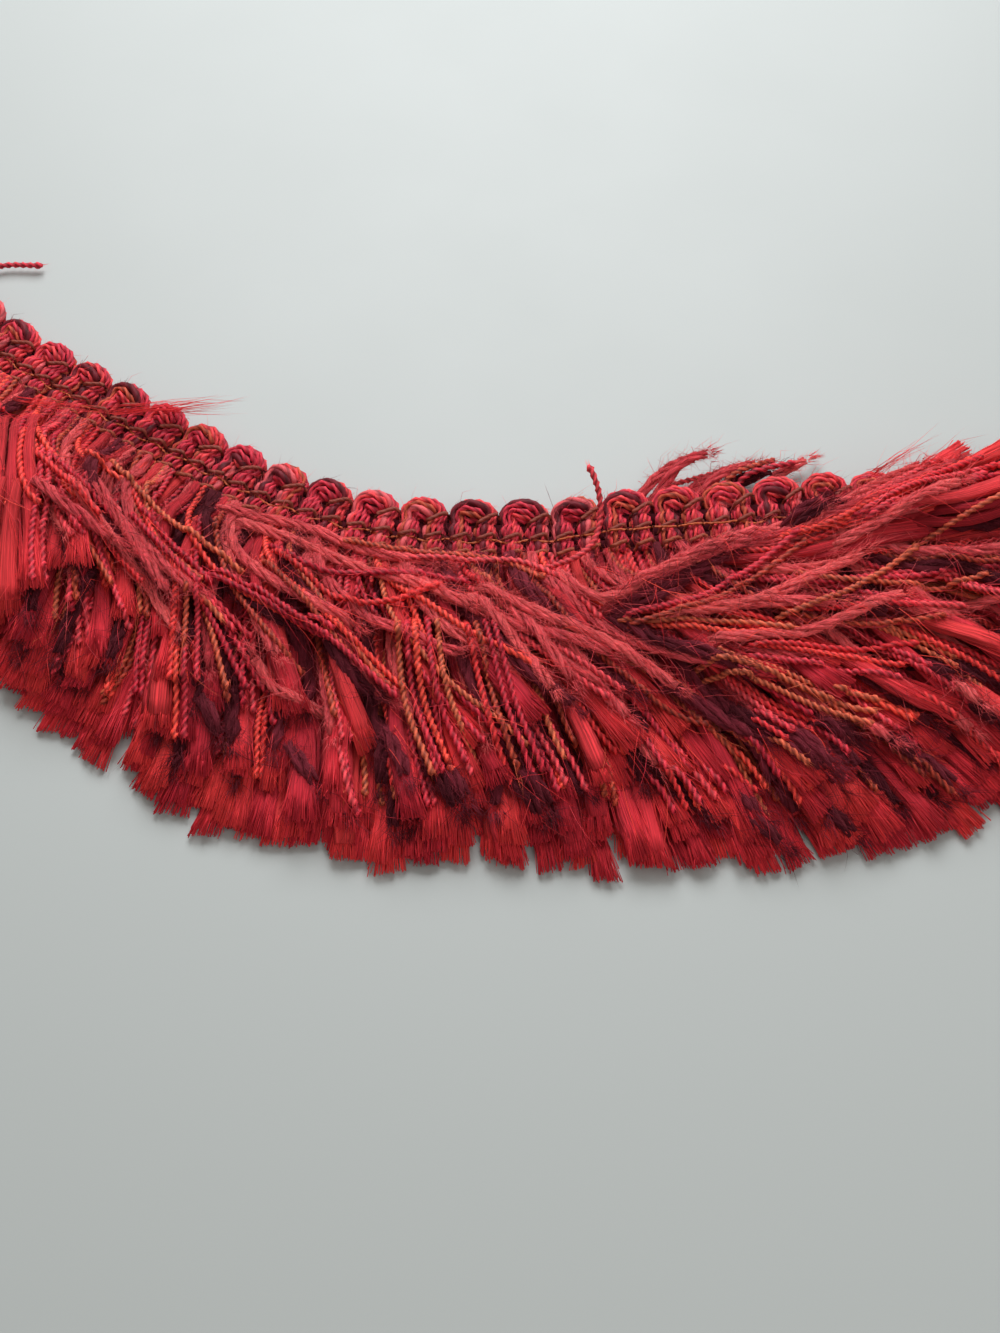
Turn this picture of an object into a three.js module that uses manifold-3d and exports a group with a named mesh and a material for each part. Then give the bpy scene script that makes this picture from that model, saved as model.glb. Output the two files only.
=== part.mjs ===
// A cut length of brush fringe trim, lying on its back in a shallow curve.
// A crocheted heading of plump weft bars runs along the far edge, with a row of round scallops where the
// wefts turn back. Three binder threads lie over it. From its near edge hangs the skirt, a thick brush of
// five kinds of yarn, combed to one side, each kind in locks that grow from a narrow strip of its own.
// Millimetres, +Z up. +X runs along the heading, and the skirt points to -Y. The origin is the middle of
// the heading's back, which is the face that is sewn on.
import * as THREE from "three";
import Module from "manifold-3d";

const wasm = await Module();
wasm.setup();
const { clamp, degToRad, lerp, smoothstep } = THREE.MathUtils;

// Driving dimensions
const SCALLOP = { pitch: 8, count: 25, first: -112.2, steps: 6 };
const CLEAR = 0.36; // between pieces that touch
const LINE_STEP = 0.5; // along the heading's centre line
const ROUNDING = 1e-6; // less than any share that counts
const END = SCALLOP.first + SCALLOP.pitch * SCALLOP.count;

// The curve in which the trim lies: the heading's direction, in degrees, at stations along it
const LIE = [
  { at: -118, turn: -47 },
  { at: -95, turn: -37 },
  { at: -82, turn: -33.5 },
  { at: -60, turn: -33 },
  { at: -46, turn: -31.5 },
  { at: -38, turn: -26.5 },
  { at: -30, turn: -21 },
  { at: -22, turn: -14.5 },
  { at: -14, turn: -7 },
  { at: -5, turn: -1 },
  { at: 5, turn: 0 },
  { at: 20, turn: 4.5 },
  { at: 30, turn: 6 },
  { at: 50, turn: 8 },
  { at: 70, turn: 10.5 },
  { at: 92, turn: 13 },
];

// How high the heading's back is lifted by the strands that are folded back under it
const LIFT = [
  { at: -112, up: 1.9 },
  { at: -104, up: 1.9 },
  { at: -90, up: 0 },
  { at: 8, up: 0 },
  { at: 19, up: 1.9 },
  { at: 49, up: 1.9 },
  { at: 61, up: 0 },
];

// The heading's section, from its near edge to the groove behind the bars: how far out from the centre
// line towards the skirt, and how high over the back, at the middle of a bar and in the gap beside it
const BARS = [
  { row: "near foot", out: 5.7, bar: 0, gap: 0 },
  { row: "near side", out: 5.7, bar: 2.6, gap: 2.2 },
  { row: "lower bars", out: 3.9, bar: 4.4, gap: 3.5 },
  { row: "middle groove", out: 2.1, bar: 3.2, gap: 3.2 },
  { row: "upper bars", out: 0.5, bar: 4.4, gap: 3.5 },
  { row: "far groove", out: -1.2, bar: 3.2, gap: 3.2 },
];
const LOBE = { foot: 2.6, reach: 3.1, valley: 3.4, crest: 4.8, side: 2.3 }; // a scallop behind that groove
const HEADING_LOOK = { colour: 0x9c2a2e, roughness: 0.9 };
const BINDER = { radius: 0.42, spacing: 4.5, colour: 0x7d4a2c, roughness: 0.7 };
const BINDERS = [
  { name: "binder_far", out: -1.2, up: 4.12 },
  { name: "binder_middle", out: 2.1, up: 4.12 },
  { name: "binder_near", out: 5.1, up: 4.15 },
];

// The strips that carry the skirt at the heading's near edge lie one over another
const STRIP = { near: 6.05, far: 7.35, tall: 0.7, rise: 1.0, spacing: 5 };

// A lock's start: where in its strip, how far over the strip's back, how thick, its first stretch, and the
// share of its full thickness it has at that stretch's end
const ROOT = { out: 7.25, inset: 0.1, tall: 0.42, run: 4, straight: 2.8, share: 0.55, least: 0.5 };
const STEP = 1; // along a lock's path
const BEND = 3.5; // the higher, the sooner a lock has turned to its lean

// The ways a lock may lie: turned a few degrees to either side, and straight for longer at first
const SETTLE = { turns: 7, degrees: 2, runs: 4, steep: 3 };

// The pile that the locks are laid on: its cells, how far it reaches, and the bands that fill the heading
const PILE = { cell: 0.3, reach: 140, edge: 4.6, band: 1 };

// The kinds of yarn in the skirt, lowest first. Each has its locks' spacing, length and sizes, how uneven
// the lengths are, how far in degrees the locks stray from the comb, how much further each may run straight
// at first, and the comb: how far, in degrees, the tips lean to the right of straight out.
const SKIRT = [
  {
    name: "skirt_floss",
    colour: 0xb8202a,
    roughness: 0.45,
    spacing: 3.3,
    length: 52,
    uneven: 2.0,
    stray: 1,
    run: 1,
    segments: 2,
    wide: { root: 1.7, tip: 2.6 },
    tall: 1.6,
    comb: [
      { at: -112, lean: 22 },
      { at: -60, lean: 18 },
      { at: -20, lean: 4 },
      { at: 0, lean: 5 },
      { at: 20, lean: 14 },
      { at: 40, lean: 27 },
      { at: 88, lean: 33 },
    ],
  },
  {
    name: "skirt_maroon_wool",
    colour: 0x4a1620,
    roughness: 0.95,
    spacing: 4.1,
    length: 50,
    uneven: 3.0,
    stray: 3,
    run: 2,
    segments: 3,
    wide: { root: 1.6, tip: 2.6 },
    tall: 1.9,
    comb: [
      { at: -112, lean: 30 },
      { at: -60, lean: 28 },
      { at: -20, lean: 16 },
      { at: 0, lean: 18 },
      { at: 20, lean: 28 },
      { at: 40, lean: 40 },
      { at: 88, lean: 44 },
    ],
  },
  {
    name: "skirt_red_cord",
    colour: 0xa8203a,
    roughness: 0.55,
    spacing: 3.7,
    length: 50,
    uneven: 3.5,
    stray: 4,
    run: 3,
    segments: 3,
    wide: { root: 1.0, tip: 1.4 },
    tall: 1.2,
    comb: [
      { at: -112, lean: 38 },
      { at: -60, lean: 38 },
      { at: -20, lean: 28 },
      { at: 0, lean: 30 },
      { at: 20, lean: 40 },
      { at: 40, lean: 52 },
      { at: 88, lean: 52 },
    ],
  },
  {
    name: "skirt_gold_cord",
    colour: 0xa65a2a,
    roughness: 0.55,
    spacing: 6.4,
    length: 49,
    uneven: 4,
    stray: 5,
    run: 5,
    segments: 4,
    wide: { root: 1.0, tip: 1.3 },
    tall: 1.2,
    comb: [
      { at: -112, lean: 52 },
      { at: -60, lean: 55 },
      { at: -20, lean: 50 },
      { at: 0, lean: 50 },
      { at: 20, lean: 62 },
      { at: 40, lean: 74 },
      { at: 60, lean: 74 },
      { at: 88, lean: 58 },
    ],
  },
  {
    name: "skirt_coral_wool",
    colour: 0xb4474a,
    roughness: 0.95,
    spacing: 4.6,
    length: 47,
    uneven: 4,
    stray: 4,
    run: 3,
    segments: 5,
    wide: { root: 1.5, tip: 2.3 },
    tall: 1.9,
    comb: [
      { at: -112, lean: 64 },
      { at: -60, lean: 72 },
      { at: -20, lean: 72 },
      { at: 0, lean: 80 },
      { at: 12, lean: 104 },
      { at: 22, lean: 118 },
      { at: 50, lean: 126 },
      { at: 66, lean: 116 },
      { at: 78, lean: 96 },
      { at: 88, lean: 66 },
    ],
  },
];

// How far the locks reach, as a share of their length: some are crumpled more than others
const REACH = [
  { at: -112, share: 0.85 },
  { at: -55, share: 0.86 },
  { at: -25, share: 0.93 },
  { at: 0, share: 0.97 },
  { at: 40, share: 0.95 },
  { at: 88, share: 0.93 },
];

// Strands of the lowest strip that are folded back under the heading and show behind it: where each leaves
// the strip and the heading, then where it bends and ends, so far behind the centre line
const FOLDED = [
  { from: -110, under: -110, bend: -108.5, by: 13, tip: -103.5, behind: 17.5, wide: 1.2, tall: 1.2 },
  { from: 20.5, under: 22, bend: 29, by: 8.9, tip: 43, behind: 10.4, wide: 1.2, tall: 1.2 },
  { from: 27, under: 31.5, bend: 32.5, by: 7, tip: 38, behind: 12, wide: 2, tall: 1.6 },
  { from: 31.5, under: 36.5, bend: 37.5, by: 7, tip: 44, behind: 8, wide: 1.8, tall: 1.6 },
  { from: 40.5, under: 46, bend: 47, by: 7.2, tip: 53, behind: 10.4, wide: 2, tall: 1.6 },
];
const FOLD = { root: 6.15, edge: 6.2 }; // their starts in the strip, and the heading's far edge

// The cord that stands up over the heading, from its strip to its tip, and the kind it grows among
const UPRIGHT_AMONG = "skirt_coral_wool";
const UPRIGHT = { wide: 1.2, tall: 1.2 };
const UPRIGHT_PATH = [
  { at: 7.5, out: 6.9, up: 0 },
  { at: 12, out: 6, up: 6.3 },
  { at: 14.8, out: 2, up: 0 },
  { at: 15.5, out: -3, up: 0 },
  { at: 14.2, out: -5.5, up: 12 },
];

// A column of a table, worked out between its rows
const between = (table, at, column) => {
  const next = table.findIndex((row) => row.at > at);
  if (next === 0) return table[0][column];
  if (next < 0) return table[table.length - 1][column];
  const [before, after] = [table[next - 1], table[next]];
  return lerp(before[column], after[column], (at - before.at) / (after.at - before.at));
};

// A repeatable share from -1 to 1 for lock number n, with another for each purpose k
const LENGTHS = 7; // the first of the purposes that are lengths; those below it are leans
const SCATTER = { lock: 12.9898, purpose: 78.233, spread: 43758.5453 };
const uneven = (n, k) => {
  const wave = Math.sin(n * SCATTER.lock + k * SCATTER.purpose) * SCATTER.spread;
  return 2 * (wave - Math.floor(wave)) - 1;
};

// The centre line, summed from the heading's direction and moved to pass the origin at station 0
const line = [];
for (let at = LIE[0].at, x = 0, y = 0; at <= LIE[LIE.length - 1].at; at += LINE_STEP) {
  const turn = degToRad(between(LIE, at, "turn"));
  line.push({ at, x, y, turn });
  x += LINE_STEP * Math.cos(turn);
  y += LINE_STEP * Math.sin(turn);
}
const middle = line.find((point) => point.at >= 0);
const origin = { x: middle.x, y: middle.y };
for (const point of line) {
  point.x -= origin.x;
  point.y -= origin.y;
}

const turnAt = (at) => between(line, at, "turn");
const liftAt = (at) => {
  const next = LIFT.findIndex((row) => row.at > at);
  if (next <= 0) return LIFT[next < 0 ? LIFT.length - 1 : 0].up;
  const [before, after] = [LIFT[next - 1], LIFT[next]];
  return lerp(before.up, after.up, smoothstep(at, before.at, after.at));
};

// The point at a station, so far out from the centre line towards the skirt, and so high
const place = (at, out, up) => {
  const turn = turnAt(at);
  const x = between(line, at, "x") + out * Math.sin(turn);
  const y = between(line, at, "y") - out * Math.cos(turn);
  return new THREE.Vector3(x, y, up);
};

// Skins a row of rings, each a loop of as many points, and closes both ends
const solid = (rings) => {
  const size = rings[0].length;
  const last = (rings.length - 1) * size;
  const faces = [];
  for (let ring = 0; ring < rings.length - 1; ring++) {
    for (let i = 0; i < size; i++) {
      const [a, b] = [ring * size + i, ring * size + ((i + 1) % size)];
      faces.push(a, b + size, b, a, a + size, b + size);
    }
  }
  for (let i = 1; i < size - 1; i++) {
    faces.push(0, i, i + 1, last, last + i + 1, last + i);
  }
  const points = rings.flat().flatMap((point) => point.toArray());
  return new wasm.Manifold(
    new wasm.Mesh({
      numProp: 3,
      vertProperties: new Float32Array(points),
      triVerts: new Uint32Array(faces),
    }),
  );
};

// Stations from first to last, evenly spaced and about so far apart
const stations = (first, last, spacing) => {
  const steps = Math.round((last - first) / spacing);
  return Array.from({ length: steps + 1 }, (_, i) => lerp(first, last, i / steps));
};

// The heading: a section of bars and grooves whose far edge swells into a scallop at each pitch
const headingRing = (at) => {
  const share = (at - SCALLOP.first) / SCALLOP.pitch;
  const phase = share - Math.floor(share + ROUNDING);
  const swell = Math.abs(Math.sin(2 * Math.PI * phase));
  const round = Math.sqrt(Math.max(0, 1 - (2 * phase - 1) ** 2));
  const lift = liftAt(at);
  const reach = LOBE.foot + LOBE.reach * round;
  const groove = BARS[BARS.length - 1].out;
  return [
    ...BARS.map(({ out, bar, gap }) => place(at, out, lift + lerp(gap, bar, swell))),
    place(at, (groove - reach) / 2, lift + lerp(LOBE.valley, LOBE.crest, round)),
    place(at, -reach, lift + LOBE.side),
    place(at, -reach, lift),
  ];
};
const heading = () =>
  solid(stations(SCALLOP.first, END, SCALLOP.pitch / SCALLOP.steps).map(headingRing));

// A binder thread: four-sided, laid along the heading's top
const binder = ({ out, up }) =>
  solid(
    stations(SCALLOP.first, END, BINDER.spacing).map((at) => {
      const height = liftAt(at) + up;
      return [
        place(at, out + BINDER.radius, height),
        place(at, out, height + BINDER.radius),
        place(at, out - BINDER.radius, height),
        place(at, out, height - BINDER.radius),
      ];
    }),
  );

// The strip at one level, which its locks grow from
const strip = (level) =>
  solid(
    stations(SCALLOP.first, END, STRIP.spacing).map((at) => {
      const [low, high] = [level * STRIP.rise, level * STRIP.rise + STRIP.tall];
      return [
        place(at, STRIP.far, low),
        place(at, STRIP.far, high),
        place(at, STRIP.near, high),
        place(at, STRIP.near, low),
      ];
    }),
  );

// The pile as laid so far, as the height of its top over a grid of small cells
class Pile {
  constructor() {
    this.side = Math.ceil((2 * PILE.reach) / PILE.cell);
    this.tops = new Float32Array(this.side * this.side);
  }

  // Calls back with each cell that lies within half a width of the stretch from a to b
  visit(a, b, half, back) {
    const index = (value) => Math.round((value + PILE.reach) / PILE.cell);
    const run = new THREE.Vector2(b.x - a.x, b.y - a.y);
    const length = run.length();
    for (let row = index(Math.min(a.y, b.y) - half); row <= index(Math.max(a.y, b.y) + half); row++) {
      for (let col = index(Math.min(a.x, b.x) - half); col <= index(Math.max(a.x, b.x) + half); col++) {
        const cell = new THREE.Vector2(
          col * PILE.cell - PILE.reach - a.x,
          row * PILE.cell - PILE.reach - a.y,
        );
        const share = clamp(cell.dot(run) / length ** 2, 0, 1);
        if (cell.addScaledVector(run, -share).length() <= half) back(row * this.side + col, share);
      }
    }
  }

  under(a, b, half) {
    let top = 0;
    this.visit(a, b, half + CLEAR, (cell) => (top = Math.max(top, this.tops[cell])));
    return top;
  }

  // How high b has to be for a straight stretch from a to clear all that lies under it
  over(a, b, half) {
    let high = 0;
    this.visit(a, b, half + CLEAR, (cell, share) => {
      const rise = this.tops[cell] + CLEAR - a.z;
      if (this.tops[cell] === 0 || rise < 0) return;
      high = Math.max(high, a.z + rise / Math.max(share, ROOT.least));
    });
    return high;
  }

  cover(a, b, half) {
    this.visit(a, b, half, (cell, share) => {
      this.tops[cell] = Math.max(this.tops[cell], lerp(a.z, b.z, share));
    });
  }
}

// A lock's path in plan: straight out of the heading for a run, and then bent to its lean
const lockPath = (at, lean, length, segments, run) => {
  const ends = [0, ROOT.run, ...stations(ROOT.run, length, (length - ROOT.run) / segments).slice(1)];
  const point = place(at, ROOT.out, 0);
  const out = turnAt(at) - Math.PI / 2;
  const straight = ROOT.straight + run;
  const path = [];
  for (let gone = 0; gone <= length + STEP / 2; gone += STEP) {
    const bent = clamp((gone - straight) / (length - straight), 0, 1);
    const direction = out + degToRad(lean) * (1 - (1 - bent) ** BEND);
    if (gone + STEP / 2 > ends[path.length]) path.push({ ...point, direction, share: gone / length });
    point.x += STEP * Math.cos(direction);
    point.y += STEP * Math.sin(direction);
  }
  return path;
};

// The path of a strand that lies out of the row, through points beside the centre line
const strayPath = (points) => {
  const places = points.map(({ at, out }) => place(at, out, 0));
  return places.map(({ x, y }, i) => {
    const [before, after] = [places[Math.max(i - 1, 0)], places[Math.min(i + 1, places.length - 1)]];
    const direction = Math.atan2(after.y - before.y, after.x - before.x);
    return { x, y, direction, share: i / (places.length - 1), least: points[i].up };
  });
};
const foldedPath = ({ from, under, bend, by, tip, behind }) =>
  strayPath([
    { at: from, out: FOLD.root, up: 0 },
    { at: under, out: -FOLD.edge, up: 0 },
    { at: bend, out: -by, up: 0 },
    { at: tip, out: -behind, up: 0 },
  ]);

// Lays a lock on the pile: each of its stretches clears all that lies under it
const layLock = (pile, path, kind, level) => {
  const nodes = path.map((point, i) => ({
    ...point,
    half: lerp(kind.wide.root, kind.wide.tip, point.share) / 2,
    tall: i === 0 ? ROOT.tall : lerp(lerp(ROOT.tall, kind.tall, ROOT.share), kind.tall, point.share),
  }));
  nodes[0].z = level * STRIP.rise + ROOT.inset;
  const floor = nodes.slice(1).map((node, i) => {
    const half = Math.max(nodes[i].half, node.half);
    if (i === 0) return pile.over(nodes[0], node, half);
    const top = pile.under(nodes[i], node, half);
    return top > 0 ? top + CLEAR : 0;
  });
  for (let i = 1; i < nodes.length; i++) {
    nodes[i].z = Math.max(floor[i - 1], floor[i] ?? 0, nodes[i].least ?? 0);
  }
  return nodes;
};

const coverLock = (pile, nodes) => {
  for (let i = 1; i < nodes.length; i++) {
    const [a, b] = [nodes[i - 1], nodes[i]];
    pile.cover({ ...a, z: a.z + a.tall }, { ...b, z: b.z + b.tall }, Math.max(a.half, b.half));
  }
};

const lockSolid = (nodes) =>
  solid(
    nodes.map(({ x, y, z, direction, half, tall }) => {
      const [dx, dy] = [half * Math.sin(direction), -half * Math.cos(direction)];
      return [
        new THREE.Vector3(x + dx, y + dy, z),
        new THREE.Vector3(x + dx, y + dy, z + tall),
        new THREE.Vector3(x - dx, y - dy, z + tall),
        new THREE.Vector3(x - dx, y - dy, z),
      ];
    }),
  );

// Of the ways a lock may lie, all near its comb, it takes the lowest
const settle = (pile, kind, level, at, lean, length) => {
  const ways = Array.from({ length: SETTLE.turns * SETTLE.runs }, (_, way) => {
    const turn = ((way % SETTLE.turns) - (SETTLE.turns - 1) / 2) * SETTLE.degrees;
    const run = kind.run * Math.floor(way / SETTLE.turns);
    const nodes = layLock(pile, lockPath(at, lean + turn, length, kind.segments, run), kind, level);
    return { nodes, height: nodes.reduce((sum, node) => sum + node.z, SETTLE.steep * nodes[1].z) };
  });
  return ways.reduce((best, way) => (way.height < best.height ? way : best)).nodes;
};

// All the locks of one kind, laid from the right-hand end
const layKind = (pile, kind, level) => {
  const margin = kind.spacing / 2;
  const roots = stations(SCALLOP.first + margin, END - margin, kind.spacing).reverse();
  return roots.map((at, n) => {
    const lean = between(kind.comb, at, "lean") + kind.stray * uneven(n, level);
    const length = kind.length * between(REACH, at, "share") + kind.uneven * uneven(n, LENGTHS + level);
    const nodes = settle(pile, kind, level, at, lean, length);
    coverLock(pile, nodes);
    return nodes;
  });
};

const layStray = (pile, path, wide, tall, level) => {
  const nodes = layLock(pile, path, { wide: { root: wide, tip: wide }, tall }, level);
  coverLock(pile, nodes);
  return nodes;
};

// The heading stands in the pile too, so that strands which are swept over it clear it
const coverHeading = (pile) => {
  for (const at of stations(SCALLOP.first, END, PILE.band)) {
    const [near, far] = [place(at, PILE.edge, 0), place(at, -PILE.edge, 0)];
    const top = liftAt(at) + LOBE.crest;
    pile.cover({ ...near, z: top }, { ...far, z: top }, PILE.band);
  }
};

const meshOf = (made, name, { colour, roughness }) => {
  const { numVert, numProp, vertProperties, triVerts } = made.getMesh();
  const points = new Float32Array(numVert * 3);
  for (let i = 0; i < numVert; i++) {
    points.set(vertProperties.subarray(i * numProp, i * numProp + 3), i * 3);
  }
  const geometry = new THREE.BufferGeometry();
  geometry.setAttribute("position", new THREE.BufferAttribute(points, 3));
  geometry.setIndex(new THREE.BufferAttribute(triVerts, 1));
  geometry.computeVertexNormals();
  const mesh = new THREE.Mesh(geometry, new THREE.MeshStandardMaterial({ color: colour, roughness }));
  mesh.name = name;
  return mesh;
};

const main = () => {
  const pile = new Pile();
  const trim = new THREE.Group();
  trim.add(meshOf(heading(), "heading_braid", HEADING_LOOK));
  for (const row of BINDERS) trim.add(meshOf(binder(row), row.name, BINDER));

  const folded = FOLDED.map((row) => layStray(pile, foldedPath(row), row.wide, row.tall, 0));
  coverHeading(pile);
  SKIRT.forEach((kind, level) => {
    const locks = level === 0 ? folded : [];
    locks.push(...layKind(pile, kind, level));
    if (kind.name === UPRIGHT_AMONG) {
      locks.push(layStray(pile, strayPath(UPRIGHT_PATH), UPRIGHT.wide, UPRIGHT.tall, level));
    }
    const parts = [strip(level), ...locks.map(lockSolid)];
    const made = parts.reduce((sum, part) => sum.add(part));
    trim.add(meshOf(made, kind.name, kind));
  });
  return trim;
};

export default main();
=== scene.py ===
"""Brush fringe trim, dressed: the yarns of the skirt, the crocheted heading and its binder threads.

Every length is in millimetres until a mesh is made. Stations run along the heading's centre line and pass
0 at the origin; "out" is the distance from that line towards the skirt, and "up" the height over the floor.
"""

import logging
import math
from dataclasses import dataclass, field, replace
from enum import Enum

import bpy
import numpy as np
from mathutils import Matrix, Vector


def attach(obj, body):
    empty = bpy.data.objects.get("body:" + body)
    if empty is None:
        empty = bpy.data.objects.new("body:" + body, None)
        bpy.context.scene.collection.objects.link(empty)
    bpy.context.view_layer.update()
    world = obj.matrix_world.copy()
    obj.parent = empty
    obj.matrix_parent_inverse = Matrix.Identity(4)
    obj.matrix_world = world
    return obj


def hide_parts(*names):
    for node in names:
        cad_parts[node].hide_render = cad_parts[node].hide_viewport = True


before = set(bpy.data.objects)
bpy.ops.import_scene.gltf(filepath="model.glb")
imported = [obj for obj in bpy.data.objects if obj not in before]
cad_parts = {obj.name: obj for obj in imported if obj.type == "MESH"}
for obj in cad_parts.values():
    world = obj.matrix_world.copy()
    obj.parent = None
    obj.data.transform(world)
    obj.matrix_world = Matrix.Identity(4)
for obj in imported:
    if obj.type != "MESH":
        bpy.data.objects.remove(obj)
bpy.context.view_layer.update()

Array = np.ndarray
Rng = np.random.Generator
LOG = logging.getLogger("trim")
MM = 0.001
TURN = 2 * math.pi
UPWARDS = (0.0, 0.0, 1.0)
SEED = 11
LOW_SEED = 7  # of the drapes on the floor, so that they change nothing in the layers over them
BODY = "root"
STEP = 0.5  # between the points of a strand's path


def smoothstep(share: Array) -> Array:
    """3s² - 2s³ for a share clamped to 0..1."""
    s = np.clip(share, 0.0, 1.0)
    return s * s * (3.0 - 2.0 * s)


def unit(vectors: Array) -> Array:
    """Each vector divided by its own length."""
    return vectors / np.maximum(np.linalg.norm(vectors, axis=-1, keepdims=True), 1e-9)


def sides(ahead: Array) -> tuple[Array, Array]:
    """Unit vectors level across each direction, and upwards from both: ahead × up, and that × ahead."""
    across = unit(np.cross(ahead, UPWARDS))
    return across, np.cross(across, ahead)


def keep_above(height: float, *rows: Array) -> None:
    """Raises those of some rows of points that lie lower than a height."""
    for points in rows:
        points[:, 2] = np.maximum(points[:, 2], height)


def along(points: Array) -> Array:
    """The distance gone at each point of a path, from 0."""
    return np.concatenate([[0.0], np.cumsum(np.linalg.norm(np.diff(points, axis=0), axis=1))])


def resampled(points: Array, distances: Array) -> Array:
    """A path at other distances along it, by straight lines between its own points.

    Args:
        points: (n, k) the path.
        distances: (m,) how far along it the new points are.

    Returns:
        (m, k) points.
    """
    gone = along(points)
    return np.stack([np.interp(distances, gone, points[:, k]) for k in range(points.shape[1])], axis=1)


def curve_through(knots: Array) -> Array:
    """A smooth path through knots, by the uniform Catmull-Rom formula, with points about STEP apart.

    Between knots b and c, with a before and d after, the point at share t is
    ½(2b + (c-a)t + (2a-5b+4c-d)t² + (3b-a-3c+d)t³).

    Args:
        knots: (n, k) points that the path passes through.

    Returns:
        (m, k) points.
    """
    per_span = 24
    padded = np.concatenate([2 * knots[:1] - knots[1:2], knots, 2 * knots[-1:] - knots[-2:-1]])
    t = np.linspace(0.0, 1.0, per_span, endpoint=False)[:, None, None]
    a, b, c, d = padded[:-3], padded[1:-2], padded[2:-1], padded[3:]
    pieces = 0.5 * (
        2 * b + (c - a) * t + (2 * a - 5 * b + 4 * c - d) * t**2 + (3 * b - a - 3 * c + d) * t**3
    )
    points = np.concatenate([pieces.transpose(1, 0, 2).reshape(-1, knots.shape[1]), knots[-1:]])
    length = along(points)[-1]
    return resampled(points, np.linspace(0.0, length, max(int(round(length / STEP)), 2) + 1))


def lobes(corners: int, groove: float) -> tuple[Array, Array]:
    """A two-ply section, with radii that go as groove + (1 - groove)·cos²(angle).

    Args:
        corners: how many there are.
        groove: the radius between the plies, for 1 on their crests.

    Returns:
        The corners' angles and radii.
    """
    angles = np.arange(corners) * TURN / corners
    return angles, groove + (1 - groove) * np.cos(angles) ** 2


@dataclass(frozen=True)
class Lie:
    """The curve in which the trim lies, and the scallops along it."""

    stations: tuple = (-118, -95, -82, -60, -46, -38, -30, -22, -14, -5, 5, 20, 30, 50, 70, 92)
    # The heading's direction at them, in degrees
    turns: tuple = (-47, -37, -33.5, -33, -31.5, -26.5, -21, -14.5, -7, -1, 0, 4.5, 6, 8, 10.5, 13)
    lifted: tuple = (-112, -104, -90, 8, 19, 49, 61)
    lifts: tuple = (1.9, 1.9, 0, 0, 1.9, 1.9, 0)  # height of the heading's back at these stations
    first: float = -112.2  # the first scallop's station
    pitch: float = 8.0  # from scallop to scallop
    count: int = 25

    def line(self) -> tuple[Array, Array, Array]:
        """The heading's centre line, summed from its direction.

        Returns:
            (n,) stations STEP apart, the (n, 2) points there, and the (n,) directions in radians.
        """
        at = np.arange(self.stations[0], self.stations[-1] + STEP / 2, STEP)
        turn = np.radians(np.interp(at, self.stations, self.turns))
        steps = STEP * np.stack([np.cos(turn), np.sin(turn)], axis=1)
        points = np.concatenate([np.zeros((1, 2)), np.cumsum(steps[:-1], axis=0)])
        return at, points - points[np.searchsorted(at, 0.0)], turn

    def turn(self, at: Array) -> Array:
        """The heading's direction at stations, in radians."""
        stations, _, turn = self.line()
        return np.interp(at, stations, turn)

    def lift(self, at: Array) -> Array:
        """How high the strands folded back under the heading lift it: a smoothstep from lift to lift.

        Args:
            at: stations.

        Returns:
            The heights there.
        """
        at = np.asarray(at, dtype=float)
        after = np.clip(np.searchsorted(self.lifted, at), 1, len(self.lifted) - 1)
        low, high = np.array(self.lifted)[after - 1], np.array(self.lifted)[after]
        share = smoothstep((at - low) / (high - low))
        return np.array(self.lifts)[after - 1] * (1 - share) + np.array(self.lifts)[after] * share

    def place(self, at: Array, out: Array, up: Array) -> Array:
        """Points beside the centre line: in plan, line + out·(sin, -cos)(turn).

        Args:
            at: their stations.
            out: how far out from the line towards the skirt each is.
            up: their heights.

        Returns:
            (..., 3) points.
        """
        at, out, up = np.broadcast_arrays(*(np.asarray(v, dtype=float) for v in (at, out, up)))
        stations, points, turn = self.line()
        angle = np.interp(at, stations, turn)
        x = np.interp(at, stations, points[:, 0]) + out * np.sin(angle)
        y = np.interp(at, stations, points[:, 1]) - out * np.cos(angle)
        return np.stack([x, y, up], axis=-1)

    @property
    def end(self) -> float:
        """The last scallop's far end."""
        return self.first + self.pitch * self.count


LIE = Lie()


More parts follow.
